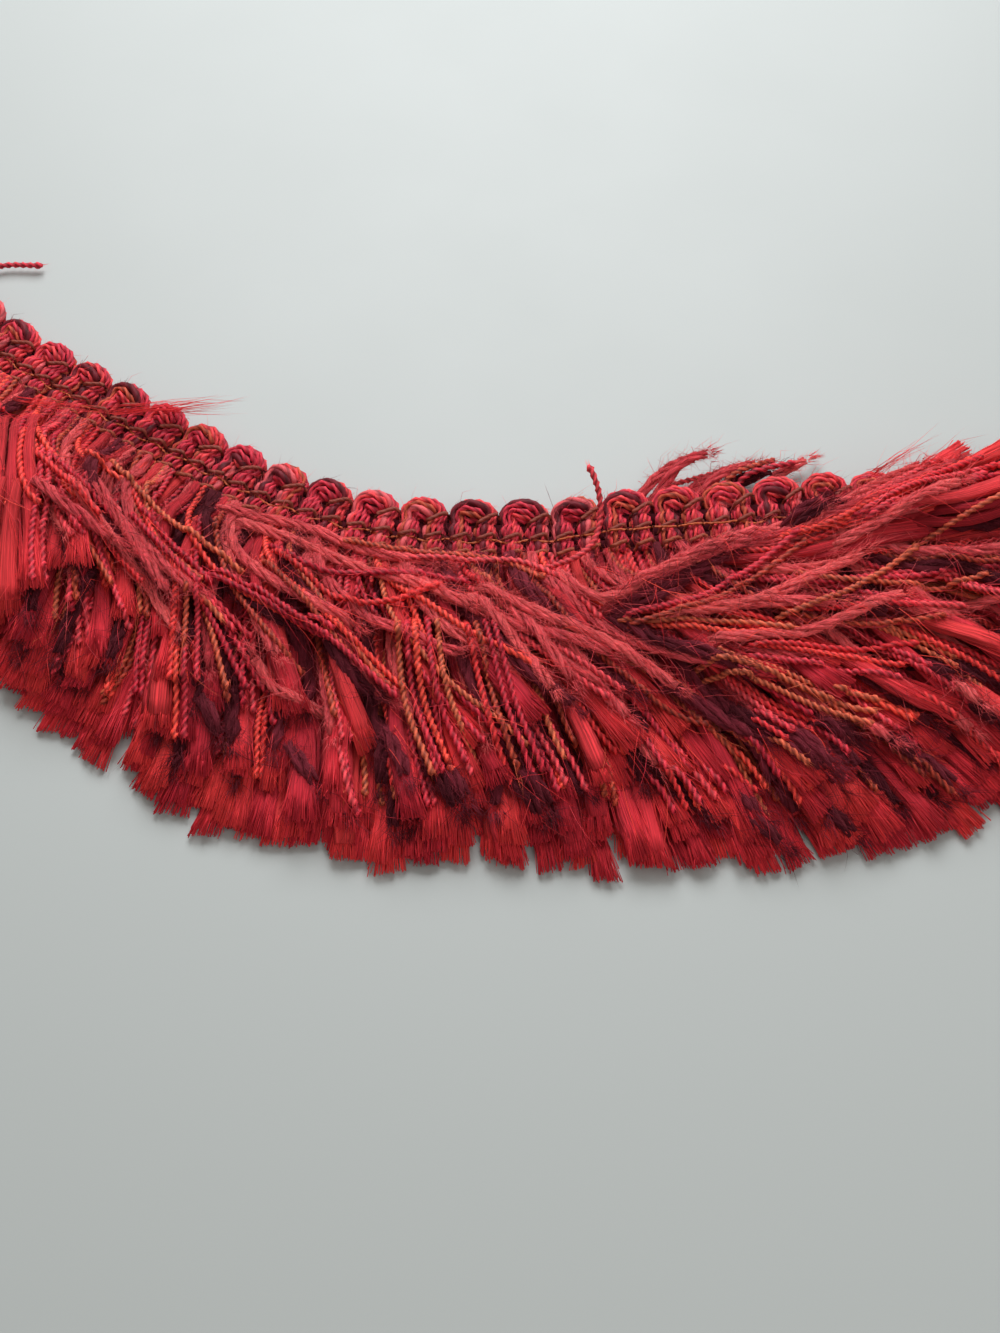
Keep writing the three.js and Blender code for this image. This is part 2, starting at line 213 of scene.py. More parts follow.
@dataclass
class Spool:
    """Gathers tubes and fibres, and winds them into one mesh.

    Each vertex carries two attributes for the materials. "fibre" is its place in the strand's own space,
    in millimetres: two across and one along. The second holds the strand's own share of colour; ½ + ½cos of
    the angle in its section, from which the materials paint shade in the grooves and highlight on the
    crests;
    the share of the strand behind it, from which they paint shade towards the root; and a second share of
    the strand's own.
    """

    verts: list = field(default_factory=list)
    quads: list = field(default_factory=list)
    tris: list = field(default_factory=list)
    fibre: list = field(default_factory=list)
    dye_and_shade: list = field(default_factory=list)
    size: int = 0

    def add(self, verts: Array, quads: Array, tris: Array, fibre: Array, dye_and_shade: Array) -> None:
        """Adds vertices with their faces and attributes.

        Args:
            verts: (n, 3) vertices.
            quads: (q, 4) their numbers in each four-sided face.
            tris: (t, 3) their numbers in each triangle.
            fibre: (n, 3) the first attribute.
            dye_and_shade: (n, 4) the second.
        """
        self.quads.append(quads + self.size)
        self.tris.append(tris + self.size)
        self.verts.append(verts)
        self.fibre.append(fibre)
        self.dye_and_shade.append(dye_and_shade)
        self.size += len(verts)

    def tube(
        self,
        path: Array,
        wide: Array,
        tall: Array,
        angles: Array,
        radii: Array,
        twist: Array,
        tint: tuple[float, float],
        rough: Array | None = None,
    ) -> None:
        """Adds a closed tube: at ring i and corner j the point is

            path + wide·r·cos(angle_j + twist_i)·across + tall·r·sin(angle_j + twist_i)·up

        where across is the path's direction × up, and r is radii_j times rough_ij.

        Args:
            path: (n, 3) centres of the rings.
            wide: (n,) half widths.
            tall: (n,) half heights.
            angles: (m,) the corners' angles in the section.
            radii: (m,) the corners' shares of the half width and height.
            twist: (n,) how far each ring is turned.
            tint: the strand's two shares of colour.
            rough: (n, m) further shares, or None.
        """
        n, m = len(path), len(angles)
        across, up = sides(unit(np.gradient(path, axis=0)))
        share = radii[None, :] * (1.0 if rough is None else rough)
        turned = angles[None, :] + twist[:, None]
        x = (wide[:, None] * share * np.cos(turned))[..., None] * across[:, None, :]
        z = (tall[:, None] * share * np.sin(turned))[..., None] * up[:, None, :]
        rings = (path[:, None, :] + x + z).reshape(-1, 3)
        verts = np.concatenate([rings, path[:1], path[-1:]])

        i, j = np.meshgrid(np.arange(n - 1) * m, np.arange(m), indexing="ij")
        k = (j + 1) % m
        quads = np.stack([i + j, i + m + j, i + m + k, i + k], axis=-1).reshape(-1, 4)
        j, k = np.arange(m), (np.arange(m) + 1) % m
        last = (n - 1) * m
        start = np.stack([np.full(m, n * m), j, k], axis=1)
        end = np.stack([np.full(m, n * m + 1), last + k, last + j], axis=1)

        gone = along(path)
        size = float(np.mean(wide))
        fibre = np.empty((n, m, 3))
        fibre[..., 0] = size * np.cos(angles)[None, :]
        fibre[..., 1] = size * np.sin(angles)[None, :]
        fibre[..., 2] = gone[:, None]
        dye_and_shade = np.empty((n, m, 4))
        dye_and_shade[..., 0] = tint[0]
        # The crest share, from which the materials paint shade in the grooves and highlight on the crests
        dye_and_shade[..., 1] = 0.5 + 0.5 * np.cos(angles)
        # The share along, from which the materials paint shade towards the root
        dye_and_shade[..., 2] = (gone / gone[-1])[:, None]
        dye_and_shade[..., 3] = tint[1]
        ends = [0, -1]
        self.add(
            verts,
            quads,
            np.concatenate([start, end]),
            np.concatenate([fibre.reshape(-1, 3), fibre[ends, 0]]),
            np.concatenate([dye_and_shade.reshape(-1, 4), dye_and_shade[ends, 0]]),
        )

    def rod(self, path: Array, radius: Array, tint: tuple[float, float]) -> None:
        """Adds a round tube: a tube with six corners, all at the radius.

        Args:
            path: (n, 3) its middle line.
            radius: (n,) its radius along it.
            tint: its two shares of colour.
        """
        self.tube(path, radius, radius, *lobes(6, 1.0), np.zeros(len(path)), tint)

    def hairs(self, points: Array, radius: Array, tint: Array) -> None:
        """Adds fibres: three-sided, thinner from the first of their points on, and pointed at the last.

        Ring i of a fibre has its corners at point_i + (1 - i / 2(k - 1))·r·(a·cos + b·sin) of thirds of a
        turn, where a and b are across the fibre.

        Args:
            points: (n, k, 3) the points that each passes.
            radius: (n,) each one's radius at its first point.
            tint: (n, 2) each one's two shares of colour.
        """
        n, k = points.shape[:2]
        if n == 0:
            return
        corners = self.triangle(points[:, -1] - points[:, 0], radius)
        share = np.linspace(1.0, 0.5, k)[: k - 1]
        rings = points[:, :-1, None, :] + share[None, :, None, None] * corners[:, None]
        verts = np.concatenate([rings.reshape(n, -1, 3), points[:, -1:]], axis=1)
        i, c = np.meshgrid(np.arange(k - 2) * 3, np.arange(3), indexing="ij")
        d = (c + 1) % 3
        quads = np.stack([i + c, i + d, i + 3 + d, i + 3 + c], axis=-1).reshape(-1, 4)
        c, d, last = np.arange(3), (np.arange(3) + 1) % 3, 3 * (k - 2)
        tris = np.stack([last + c, last + d, np.full(3, last + 3)], axis=1)
        tris = np.concatenate([tris, [[0, 2, 1]]])

        size = verts.shape[1]
        first = np.arange(n)[:, None, None] * size
        length = np.linalg.norm(points[:, -1] - points[:, 0], axis=1)
        fibre = np.zeros((n, size, 3))
        fibre[..., 0] = np.arange(n)[:, None]
        fibre[..., 2] = length[:, None] * (np.arange(size) // 3)[None, :] / (k - 1)
        # Full shares of section and length: each fibre takes the crests' painted highlight and none of the
        # root's painted shade
        dye_and_shade = np.ones((n, size, 4))
        dye_and_shade[..., 0] = tint[:, :1]
        dye_and_shade[..., 3] = tint[:, 1:]
        self.add(
            verts.reshape(-1, 3),
            (first + quads).reshape(-1, 4),
            (first + tris).reshape(-1, 3),
            fibre.reshape(-1, 3),
            dye_and_shade.reshape(-1, 4),
        )

    @staticmethod
    def triangle(way: Array, radius: Array) -> Array:
        """Three corners around directions: r·(a·cos + b·sin), with a and b across the direction.

        Args:
            way: (n, 3) the directions.
            radius: (n,) how far the corners are from the middle.

        Returns:
            (n, 3, 3) offsets.
        """
        ahead = unit(way)
        steep = np.abs(ahead[:, 2:]) > 0.9
        helper = np.where(steep, (1.0, 0.0, 0.0), UPWARDS)
        a = unit(np.cross(ahead, helper))
        b = np.cross(ahead, a)
        turn = np.arange(3) * TURN / 3
        round_a = a[:, None, :] * np.cos(turn)[None, :, None]
        return radius[:, None, None] * (round_a + b[:, None, :] * np.sin(turn)[None, :, None])

    def piece(self, name: str, slot: str, node: str, material: bpy.types.Material) -> None:
        """Makes the mesh's object, which rides on the body and replaces a CAD node.

        Args:
            name: the object's name.
            slot: the record's material slot, not used.
            node: the CAD node that it stands for.
            material: its finish.
        """
        verts = np.concatenate(self.verts) * MM
        keep_above(0.0, verts)  # what would dip into the floor lies flat on it
        quads, tris = np.concatenate(self.quads), np.concatenate(self.tris)
        loops = np.concatenate([quads.ravel(), tris.ravel()]).astype(np.int32)
        starts = np.concatenate([np.arange(len(quads)) * 4, len(quads) * 4 + np.arange(len(tris)) * 3])
        mesh = bpy.data.meshes.new(name)
        mesh.vertices.add(len(verts))
        mesh.vertices.foreach_set("co", verts.ravel())
        mesh.loops.add(len(loops))
        mesh.loops.foreach_set("vertex_index", loops)
        mesh.polygons.add(len(starts))
        mesh.polygons.foreach_set("loop_start", starts.astype(np.int32))
        mesh.update(calc_edges=True)
        mesh.polygons.foreach_set("use_smooth", np.ones(len(starts), dtype=bool))
        fibre = mesh.attributes.new("fibre", "FLOAT_VECTOR", "POINT")
        fibre.data.foreach_set("vector", np.concatenate(self.fibre).ravel())
        dye_and_shade = mesh.attributes.new("dye_and_shade", "FLOAT_COLOR", "POINT")
        dye_and_shade.data.foreach_set("color", np.concatenate(self.dye_and_shade).ravel())
        mesh.materials.append(material)
        obj = bpy.data.objects.new(name, mesh)
        bpy.context.scene.collection.objects.link(obj)
        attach(obj, BODY)
        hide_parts(node)
        LOG.info("%s: %d triangles", name, 2 * len(quads) + len(tris))


def linear(colour: str) -> tuple[float, float, float, float]:
    """An sRGB hex colour as linear RGBA: ((c + 0.055) / 1.055)^2.4, or c / 12.92 where it is dark.

    Args:
        colour: "#", and two hex digits each of red, green and blue.

    Returns:
        Red, green, blue and 1.
    """
    parts = [int(colour[i : i + 2], 16) / 255 for i in (1, 3, 5)]
    r, g, b = (((c + 0.055) / 1.055) ** 2.4 if c > 0.04045 else c / 12.92 for c in parts)
    return (r, g, b, 1.0)


def add_node(tree: bpy.types.NodeTree, kind: str, inputs: dict, **settings) -> bpy.types.Node:
    """Adds a node with its settings, and sets or links its inputs.

    Args:
        tree: the material's node tree.
        kind: the shader node's type, without the "ShaderNode" before it.
        inputs: each input's name or number, with a value, or the socket or node to link it to.
        settings: the node's own properties.

    Returns:
        The node.
    """
    node = tree.nodes.new("ShaderNode" + kind)
    for name, value in settings.items():
        setattr(node, name, value)
    for name, value in inputs.items():
        if isinstance(value, bpy.types.Node):
            value = value.outputs[0]
        if isinstance(value, bpy.types.NodeSocket):
            tree.links.new(value, node.inputs[name])
        else:
            node.inputs[name].default_value = value
    return node


@dataclass(frozen=True)
class YarnFinish:
    """A dyed yarn: fibres lie along it, with painted shade in the grooves between plies and painted
    highlights on their crests.

    A filament is about 0.02 mm thick and a wool fibre about 0.03 mm, too fine to show at 0.15 mm a pixel,
    so the pattern has one each 0.12 to 0.18 mm. Lengths are in millimetres.
    """

    name: str
    palette: tuple  # share and colour of each stop, picked by the strand's own share of colour
    stepped: bool = False  # each strand has one palette colour, not one between two
    roughness: float = 0.5
    gloss: float = 0.35
    sheen: float = 0.12  # how much the fine fibres over the surface scatter
    sheen_tint: str = "#E05050"
    spacing: float = 0.12  # between fibres
    run: float = 4.0  # how far a fibre shows before another takes over
    detail: float = 2.0  # finer fibres within the fibres
    depth: float = 0.05  # of the relief between fibres
    dark: float = 0.45  # brightness in the grooves, a painted shade
    bright: float = 1.2  # brightness on the crests, a painted highlight
    patch: float = 9.0  # size of the patches where the dyeing took more or less
    patchy: float = 0.35  # how much the patches differ
    root: float = 0.85  # brightness at the root, as a share of that at the tip: a painted shade towards the root
    root_run: float = 0.3  # share of the strand that is in the root's painted shade
    streak: float = 0.3  # how much the fibres differ in brightness
    plies: float = 1.0  # how deep the grooves between two plies are, in relief and in painted shade
    second: float = 1.0  # brightness of the second ply, as a share of the first's

    def material(self) -> bpy.types.Material:
        """The finish as a material, from its strands' two attributes and Object coordinates.

        A spot's height among its neighbours is 0.6·plies·crest + streak·fibre + patchy·patch, moved so that
        its middle is near ½. Its brightness goes with that height, which paints shade in the grooves and on
        the low fibres and a highlight on the crests, and is then scaled for the root, a painted shade
        there, and for the second ply.

        Returns:
            The material.
        """
        material = bpy.data.materials.new(self.name)
        material.use_nodes = True
        tree = material.node_tree
        tree.nodes.clear()
        fibre = add_node(tree, "Attribute", {}, attribute_name="fibre").outputs["Vector"]
        dye_and_shade = add_node(tree, "Attribute", {}, attribute_name="dye_and_shade").outputs["Color"]
        shares = add_node(tree, "SeparateColor", {"Color": dye_and_shade}).outputs
        own, section, gone = (shares[name] for name in ("Red", "Green", "Blue"))
        place = add_node(tree, "TexCoord", {}).outputs["Object"]

        # Noise drawn out along the strand, with a pattern of its own for each strand
        stretch = (1 / self.spacing, 1 / self.spacing, 1 / self.run)
        drawn = add_node(tree, "Mapping", {"Vector": fibre, "Scale": stretch})
        noise = {"Vector": drawn, "W": own, "Scale": 1.0, "Detail": self.detail}
        fine = add_node(tree, "TexNoise", noise, noise_dimensions="4D")
        fine = add_node(tree, "MapRange", {"Value": fine, "From Min": 0.3, "From Max": 0.7})
        # |cos| of the angle in the section: 1 on both plies' crests, and 0 in the grooves
        side = add_node(tree, "Math", {0: section, 1: 2.0, 2: -1.0}, operation="MULTIPLY_ADD")
        side = add_node(tree, "Math", {0: side}, operation="ABSOLUTE")
        crest = add_node(tree, "MapRange", {"Value": side, "From Min": 0.1, "From Max": 0.8})
        cloud = {"Vector": place, "Scale": 1 / (self.patch * MM), "Detail": 2.0}
        patches = add_node(tree, "TexNoise", cloud)

        # Brightness that follows the relief: painted shade in the grooves and on the low fibres, and
        # painted highlight on the crests; the patches are the yarn's own colour
        high = 0.475 - 0.5 * (self.streak + self.plies)
        for part, weight in ((crest, 0.6 * self.plies), (fine, self.streak), (patches, self.patchy)):
            high = add_node(tree, "Math", {0: part, 1: weight, 2: high}, operation="MULTIPLY_ADD")
        bright = add_node(tree, "MapRange", {"Value": high, "To Min": self.dark, "To Max": self.bright})
        # The root's painted shade, and the second ply's brightness
        outward = {"Value": gone, "From Min": self.root_run, "To Min": self.root}
        plies = {"Value": section, "From Min": 0.35, "From Max": 0.65, "To Min": self.second}
        for share in (outward, plies):
            scaled = {0: bright, 1: add_node(tree, "MapRange", share)}
            bright = add_node(tree, "Math", scaled, operation="MULTIPLY")

        ramp = add_node(tree, "ValToRGB", {"Fac": own})
        ramp.color_ramp.interpolation = "CONSTANT" if self.stepped else "LINEAR"
        stops = ramp.color_ramp.elements
        while len(stops) < len(self.palette):
            stops.new(1.0)
        for stop, (at, colour) in zip(stops, self.palette):
            stop.position, stop.color = at, linear(colour)
        colour = add_node(tree, "VectorMath", {0: ramp, "Scale": bright}, operation="SCALE")

        relief = add_node(tree, "Math", {0: crest, 1: self.plies, 2: fine}, operation="MULTIPLY_ADD")
        bump = add_node(tree, "Bump", {"Height": relief, "Strength": 0.8, "Distance": self.depth * MM})
        surface = {
            "Base Color": colour,
            "Roughness": self.roughness,
            "Normal": bump,
            "Specular IOR Level": self.gloss,
            "Sheen Weight": self.sheen,
            "Sheen Roughness": 0.4,
            "Sheen Tint": linear(self.sheen_tint),
        }
        add_node(tree, "OutputMaterial", {"Surface": add_node(tree, "BsdfPrincipled", surface)})
        return material


# Rayon cord, two satin plies twisted hard: broad lit crests, a painted highlight, with a thin, nearly black
# red line of painted shade between
CRIMSON = YarnFinish(
    "crimson rayon cord",
    ((0.0, "#AC1C2E"), (0.5, "#C62E3C"), (1.0, "#DA444A")),
    gloss=0.25,
    sheen_tint="#E04838",
    dark=0.28,
    bright=2.25,
    second=0.85,
)
# The same cord in a warmer red, the brightest yarn of the skirt
VERMILION = YarnFinish(
    "vermilion rayon cord",
    ((0.0, "#C4242E"), (0.5, "#DC3834"), (1.0, "#EC4C3C")),
    gloss=0.25,
    sheen_tint="#E04838",
    dark=0.28,
    bright=2.1,
)
# The same cord with an ochre ply and a browner one: gold beads on a dark line, painted shade between the
# plies
GOLD = YarnFinish(
    "ochre gold rayon cord",
    ((0.0, "#A23226"), (0.45, "#BE4A34"), (1.0, "#D06244")),
    gloss=0.25,
    sheen_tint="#E08060",
    dark=0.22,
    bright=2.15,
    second=0.8,
)
# Filament floss, not twisted: long straight streaks of light, paler at the cut ends that the light enters
FLOSS = YarnFinish(
    "red filament floss",
    ((0.0, "#AC2432"), (0.4, "#CA303A"), (1.0, "#D83C3C")),
    roughness=0.65,
    gloss=0.12,
    sheen=0.22,
    spacing=0.14,
    run=9.0,
    detail=3.0,
    depth=0.25,
    dark=0.53,
    bright=1.7,
    root=0.7,
    streak=1.0,
    plies=0.0,
)
# Coral wool, soft spun: matt, with a pale bloom where its short fibres catch the light
CORAL = YarnFinish(
    "coral wool",
    ((0.0, "#B2363E"), (0.5, "#C4444A"), (1.0, "#D65656")),
    roughness=0.95,
    gloss=0.2,
    sheen=0.4,
    sheen_tint="#F09088",
    spacing=0.18,
    run=1.2,
    detail=4.0,
    depth=0.3,
    dark=0.28,
    bright=2.05,
    streak=0.8,
    plies=0.0,
)
# Mohair, loosely spun and brushed: nearly black between its fibres, a painted shade, with a dusky red bloom
# over them
MAROON = YarnFinish(
    "maroon mohair",
    ((0.0, "#3C0C16"), (0.5, "#50141E"), (1.0, "#742430")),
    roughness=0.95,
    gloss=0.15,
    sheen=0.45,
    sheen_tint="#B85058",
    spacing=0.18,
    run=1.8,
    detail=4.0,
    depth=0.3,
    dark=0.3,
    bright=1.75,
    streak=0.7,
    plies=0.0,
)
# The heading's wefts, crimson, rust, rose and maroon yarns side by side: one dull sheen, five colours
WEFT = YarnFinish(
    "mixed weft",
    ((0.0, "#B62C3C"), (0.36, "#CC3C40"), (0.58, "#A84632"), (0.7, "#BC4E52"), (0.88, "#5C1820")),
    stepped=True,
    gloss=0.15,
    sheen=0.3,
    sheen_tint="#E07A80",
    dark=0.44,
    bright=2.05,
    root=1.0,
)
# The yarn that fills the heading between its wefts: matt, its near-black colour a painted shade for the
# gaps and creases under the wefts
GROUND_AND_SHADE = YarnFinish(
    "ground yarn in painted shade",
    ((0.0, "#3E0E16"), (1.0, "#581820")),
    roughness=0.95,
    gloss=0.1,
    sheen=0.0,
    plies=0.0,
    root=1.0,
)
# Binder thread, brown with strands of gold, twisted hard: thin and dark, with small orange glints, partly
# specular and partly painted highlights on its ply crests
BINDER = YarnFinish(
    "brown binder thread",
    ((0.0, "#6E2C26"), (0.5, "#8C3E30"), (1.0, "#BC5A34")),
    gloss=0.2,
    sheen=0.06,
    sheen_tint="#E08070",
    dark=0.4,
    bright=1.45,
    root=1.0,
    plies=0.6,
)


@dataclass(frozen=True)
class FloorFinish:
    """Pale laminate, pressed smooth: a soft even white-grey, with the faintest unevenness in its gloss."""

    colour: str = "#AFB3B0"
    roughness: float = 0.55
    uneven: float = 0.05  # how far the roughness goes to either side
    clouds: float = 30.0  # patches of gloss in a metre

    def material(self) -> bpy.types.Material:
        """The finish as a material, whose roughness goes with a noise of Object coordinates.

        Returns:
            The material.
        """
        material = bpy.data.materials.new("pale laminate")
        material.use_nodes = True
        tree = material.node_tree
        shader = tree.nodes["Principled BSDF"]
        shader.inputs["Base Color"].default_value = linear(self.colour)
        place = add_node(tree, "TexCoord", {}).outputs["Object"]
        cloud = add_node(tree, "TexNoise", {"Vector": place, "Scale": self.clouds, "Detail": 3.0})
        low, high = self.roughness - self.uneven, self.roughness + self.uneven
        gloss = add_node(tree, "MapRange", {"Value": cloud, "To Min": low, "To Max": high})
        tree.links.new(gloss.outputs[0], shader.inputs["Roughness"])
        return material


class Yarn(Enum):
    """The kinds of yarn in the skirt."""

    FLOSS = "floss"
    MAROON = "maroon"
    CRIMSON = "crimson"
    VERMILION = "vermilion"
    GOLD = "gold"
    CORAL = "coral"


@dataclass(frozen=True)
class Make:
    """How a kind of yarn is made: its size, plies and hairs, and where its piece belongs."""

    piece: str
    slot: str
    node: str
    finish: YarnFinish
    wide: float  # half its width
    tall: float  # half its height
    pitch: float = 2.1  # along it for a full turn of its plies
    plies: int = 2
    fine: float = 0.34  # between rings where it shows
    coarse: float = 6.0  # between rings where it is buried
    wander: float = 4.0  # degrees by which it strays from its course
    hairs: float = 0.3  # per millimetre that shows
    hair: float = 1.0  # length of a hair
    frayed: int = 7  # fibres at its cut end
    fray: float = 0.9  # how far they reach past it


WOOL = {"coarse": 7.0, "frayed": 26, "fray": 1.8}
MAKES = {
    Yarn.FLOSS: Make(
        "floss", "red_floss", "skirt_floss", FLOSS, wide=0.85, tall=0.7, fine=2.4, coarse=7.0, wander=2.5
    ),
    Yarn.MAROON: Make(
        "maroon_wool", "maroon_wool", "skirt_maroon_wool", MAROON, wide=1.1, tall=0.8, pitch=13.0, plies=3,
        fine=2.1, wander=7.0, hairs=11.0, hair=3.2, **WOOL,
    ),
    Yarn.CRIMSON: Make("crimson_cord", "red_cord", "skirt_red_cord", CRIMSON, wide=0.55, tall=0.52),
    Yarn.VERMILION: Make("vermilion_cord", "red_cord", "skirt_red_cord", VERMILION, wide=0.55, tall=0.52),
    Yarn.GOLD: Make("gold_cord", "gold_cord", "skirt_gold_cord", GOLD, wide=0.53, tall=0.5),
    Yarn.CORAL: Make(
        "coral_wool", "coral_wool", "skirt_coral_wool", CORAL, wide=0.92, tall=0.68, pitch=11.0, plies=4,
        fine=1.8, hairs=9.0, hair=2.4, **WOOL,
    ),
}


@dataclass
class Strand:
    """One strand of the skirt."""

    yarn: Yarn
    path: Array  # (n, 3) points
    tint: tuple[float, float]  # its two shares of colour
    shown: Array | None = None  # whether each point shows
    tip_shown: bool = True


@dataclass
class Pile:
    """The pile of strands as laid so far: the height of its top over a grid of cells."""

    cell: float = 0.5
    low: tuple = (-150.0, -95.0)  # the grid's corner
    count: tuple = (620, 340)  # its cells in x and y
    settle: float = 3.0  # how far along a strand the dips under it are bridged
    root_run: float = 8.0  # how far a strand runs from its root's height to the pile's
    bridged: float = 0.65  # share of its half height at which a strand lies over the bridged dips
    pressed: float = 0.2  # the same over the pile right under it
    grain: float = 0.4  # the most between the points that cover a strand's width
    film: float = 0.1  # how far under the pile's top a strand still shows
    beside: float = 2.0  # how far from a point that shows a strand is still taken to
    tip: float = 4.0  # length of a strand's tip
    tops: Array = field(init=False)

    def __post_init__(self) -> None:
        """Starts with a bare floor."""
        self.tops = np.zeros(self.count)

    def cells(self, points: Array) -> tuple[Array, Array]:
        """The cells that points lie in."""
        index = np.rint((points[..., :2] - self.low) / self.cell).astype(int)
        return tuple(np.clip(index[..., k], 0, self.count[k] - 1) for k in (0, 1))

    @staticmethod
    def across(points: Array) -> Array:
        """(n, 2) unit vectors across a path in plan: its direction turned a quarter turn."""
        ahead = unit(np.gradient(points[:, :2], axis=0))
        return np.stack([-ahead[:, 1], ahead[:, 0]], axis=1)

    def beside_path(self, path: Array, offsets: Array) -> Array:
        """Points in plan at offsets to the sides of a path: point + offset·across.

        Args:
            path: (n, 2) or (n, 3) points.
            offsets: (m,) distances to the side.

        Returns:
            (n, m, 2) points.
        """
        return path[:, None, :2] + self.across(path)[:, None, :] * offsets[None, :, None]

    def lay(self, plan: Array, make: Make, root: float) -> Array:
        """Lays a strand on the pile, so that it sags into dips but bridges the short ones.

        Its height is the larger of two from its root's height on. One is the pile's under it, averaged
        along it by a bell curve, plus 0.65 of its own half height. The other is the pile's right under it
        plus 0.2 of that.

        Args:
            plan: (n, 2) its path in plan.
            make: its yarn.
            root: the height that it starts at.

        Returns:
            (n, 3) its path.
        """
        under = self.tops[self.cells(self.beside_path(plan, make.wide * np.array([-0.7, 0.0, 0.7])))]
        under = 0.5 * under.mean(axis=1) + 0.5 * under.max(axis=1)
        reach = int(3 * self.settle / STEP)
        bell = np.exp(-0.5 * (np.arange(-reach, reach + 1) * STEP / self.settle) ** 2)
        smooth = np.convolve(np.pad(under, reach, mode="edge"), bell / bell.sum(), mode="valid")
        height = np.maximum(smooth + self.bridged * make.tall, under + self.pressed * make.tall)
        height = np.maximum(height, make.tall)
        share = smoothstep(np.arange(len(plan)) * STEP / self.root_run)
        return np.column_stack([plan, root * (1 - share) + height * share])

    def cover(self, path: Array, make: Make) -> None:
        """Adds a strand with a round top to the pile: height + tall·√(1 - (offset / wide)²).

        Args:
            path: (n, 3) its path.
            make: its yarn.
        """
        offsets = np.linspace(-make.wide, make.wide, int(2 * make.wide / self.grain) + 2)
        crown = make.tall * np.sqrt(np.maximum(1 - (offsets / make.wide) ** 2, 0.0))
        cells = self.cells(self.beside_path(path, offsets))
        np.maximum.at(self.tops, cells, path[:, 2:] + crown[None, :])

    def mark_shown(self, strand: Strand) -> None:
        """Marks where a strand is at the pile's top, or near a point that is, and whether its tip is.

        Args:
            strand: the strand, whose shown and tip_shown are set.
        """
        make = MAKES[strand.yarn]
        points = self.beside_path(strand.path, make.wide * np.array([-0.6, 0.0, 0.6]))
        clear = (strand.path[:, 2:] + make.tall + self.film > self.tops[self.cells(points)]).any(axis=1)
        tip = slice(-int(self.tip / STEP), None)
        strand.tip_shown = bool(clear[tip].any())
        clear[tip] |= strand.tip_shown
        near = np.ones(int(self.beside / STEP) * 2 + 1)
        strand.shown = np.convolve(clear, near, mode="same") > 0


@dataclass(frozen=True)
class Layer:
    """One layer of the skirt, laid from the right: how its strands are spaced, cut and combed."""

    yarn: Yarn
    group: int  # strands that lie side by side
    spacing: float  # between groups
    length: float
    uneven: float
    comb: float  # 0 for the skirt's lowest comb, 5 for its highest, or between two
    stray: float  # degrees
    root: float  # height at the heading's edge
    first: float = -112.0  # the stations between which its roots are
    last: float = 88.0
    sharp: float = 1.0  # how much sooner than the rest it takes its lean


@dataclass(frozen=True)
class Bend:
    """How a strand bends."""

    lean: float  # degrees between its direction out of the heading and at its tip
    length: float
    power: float  # the larger, the sooner it takes its lean
    waves: tuple  # lengths of the two waves in its course
    phases: tuple
    wander: float  # degrees that the waves turn it


@dataclass(frozen=True)
class Drape:
    """Strands that lie on top side by side, and the (station, out) points that the first one passes."""

    yarns: tuple
    points: tuple
    apart: float = 1.3
    root: float = 1.5  # height of the first point, under the pile


@dataclass(frozen=True)
class Route:
    """A strand that leaves the pile, and the (station, out, up) points that it passes."""

    yarn: Yarn
    points: tuple


@dataclass(frozen=True)
class StrayTuft:
    """Floss that has slipped out of its bundle, between two (station, out, up) points."""

    base: tuple
    tip: tuple
    spread: float
    count: int


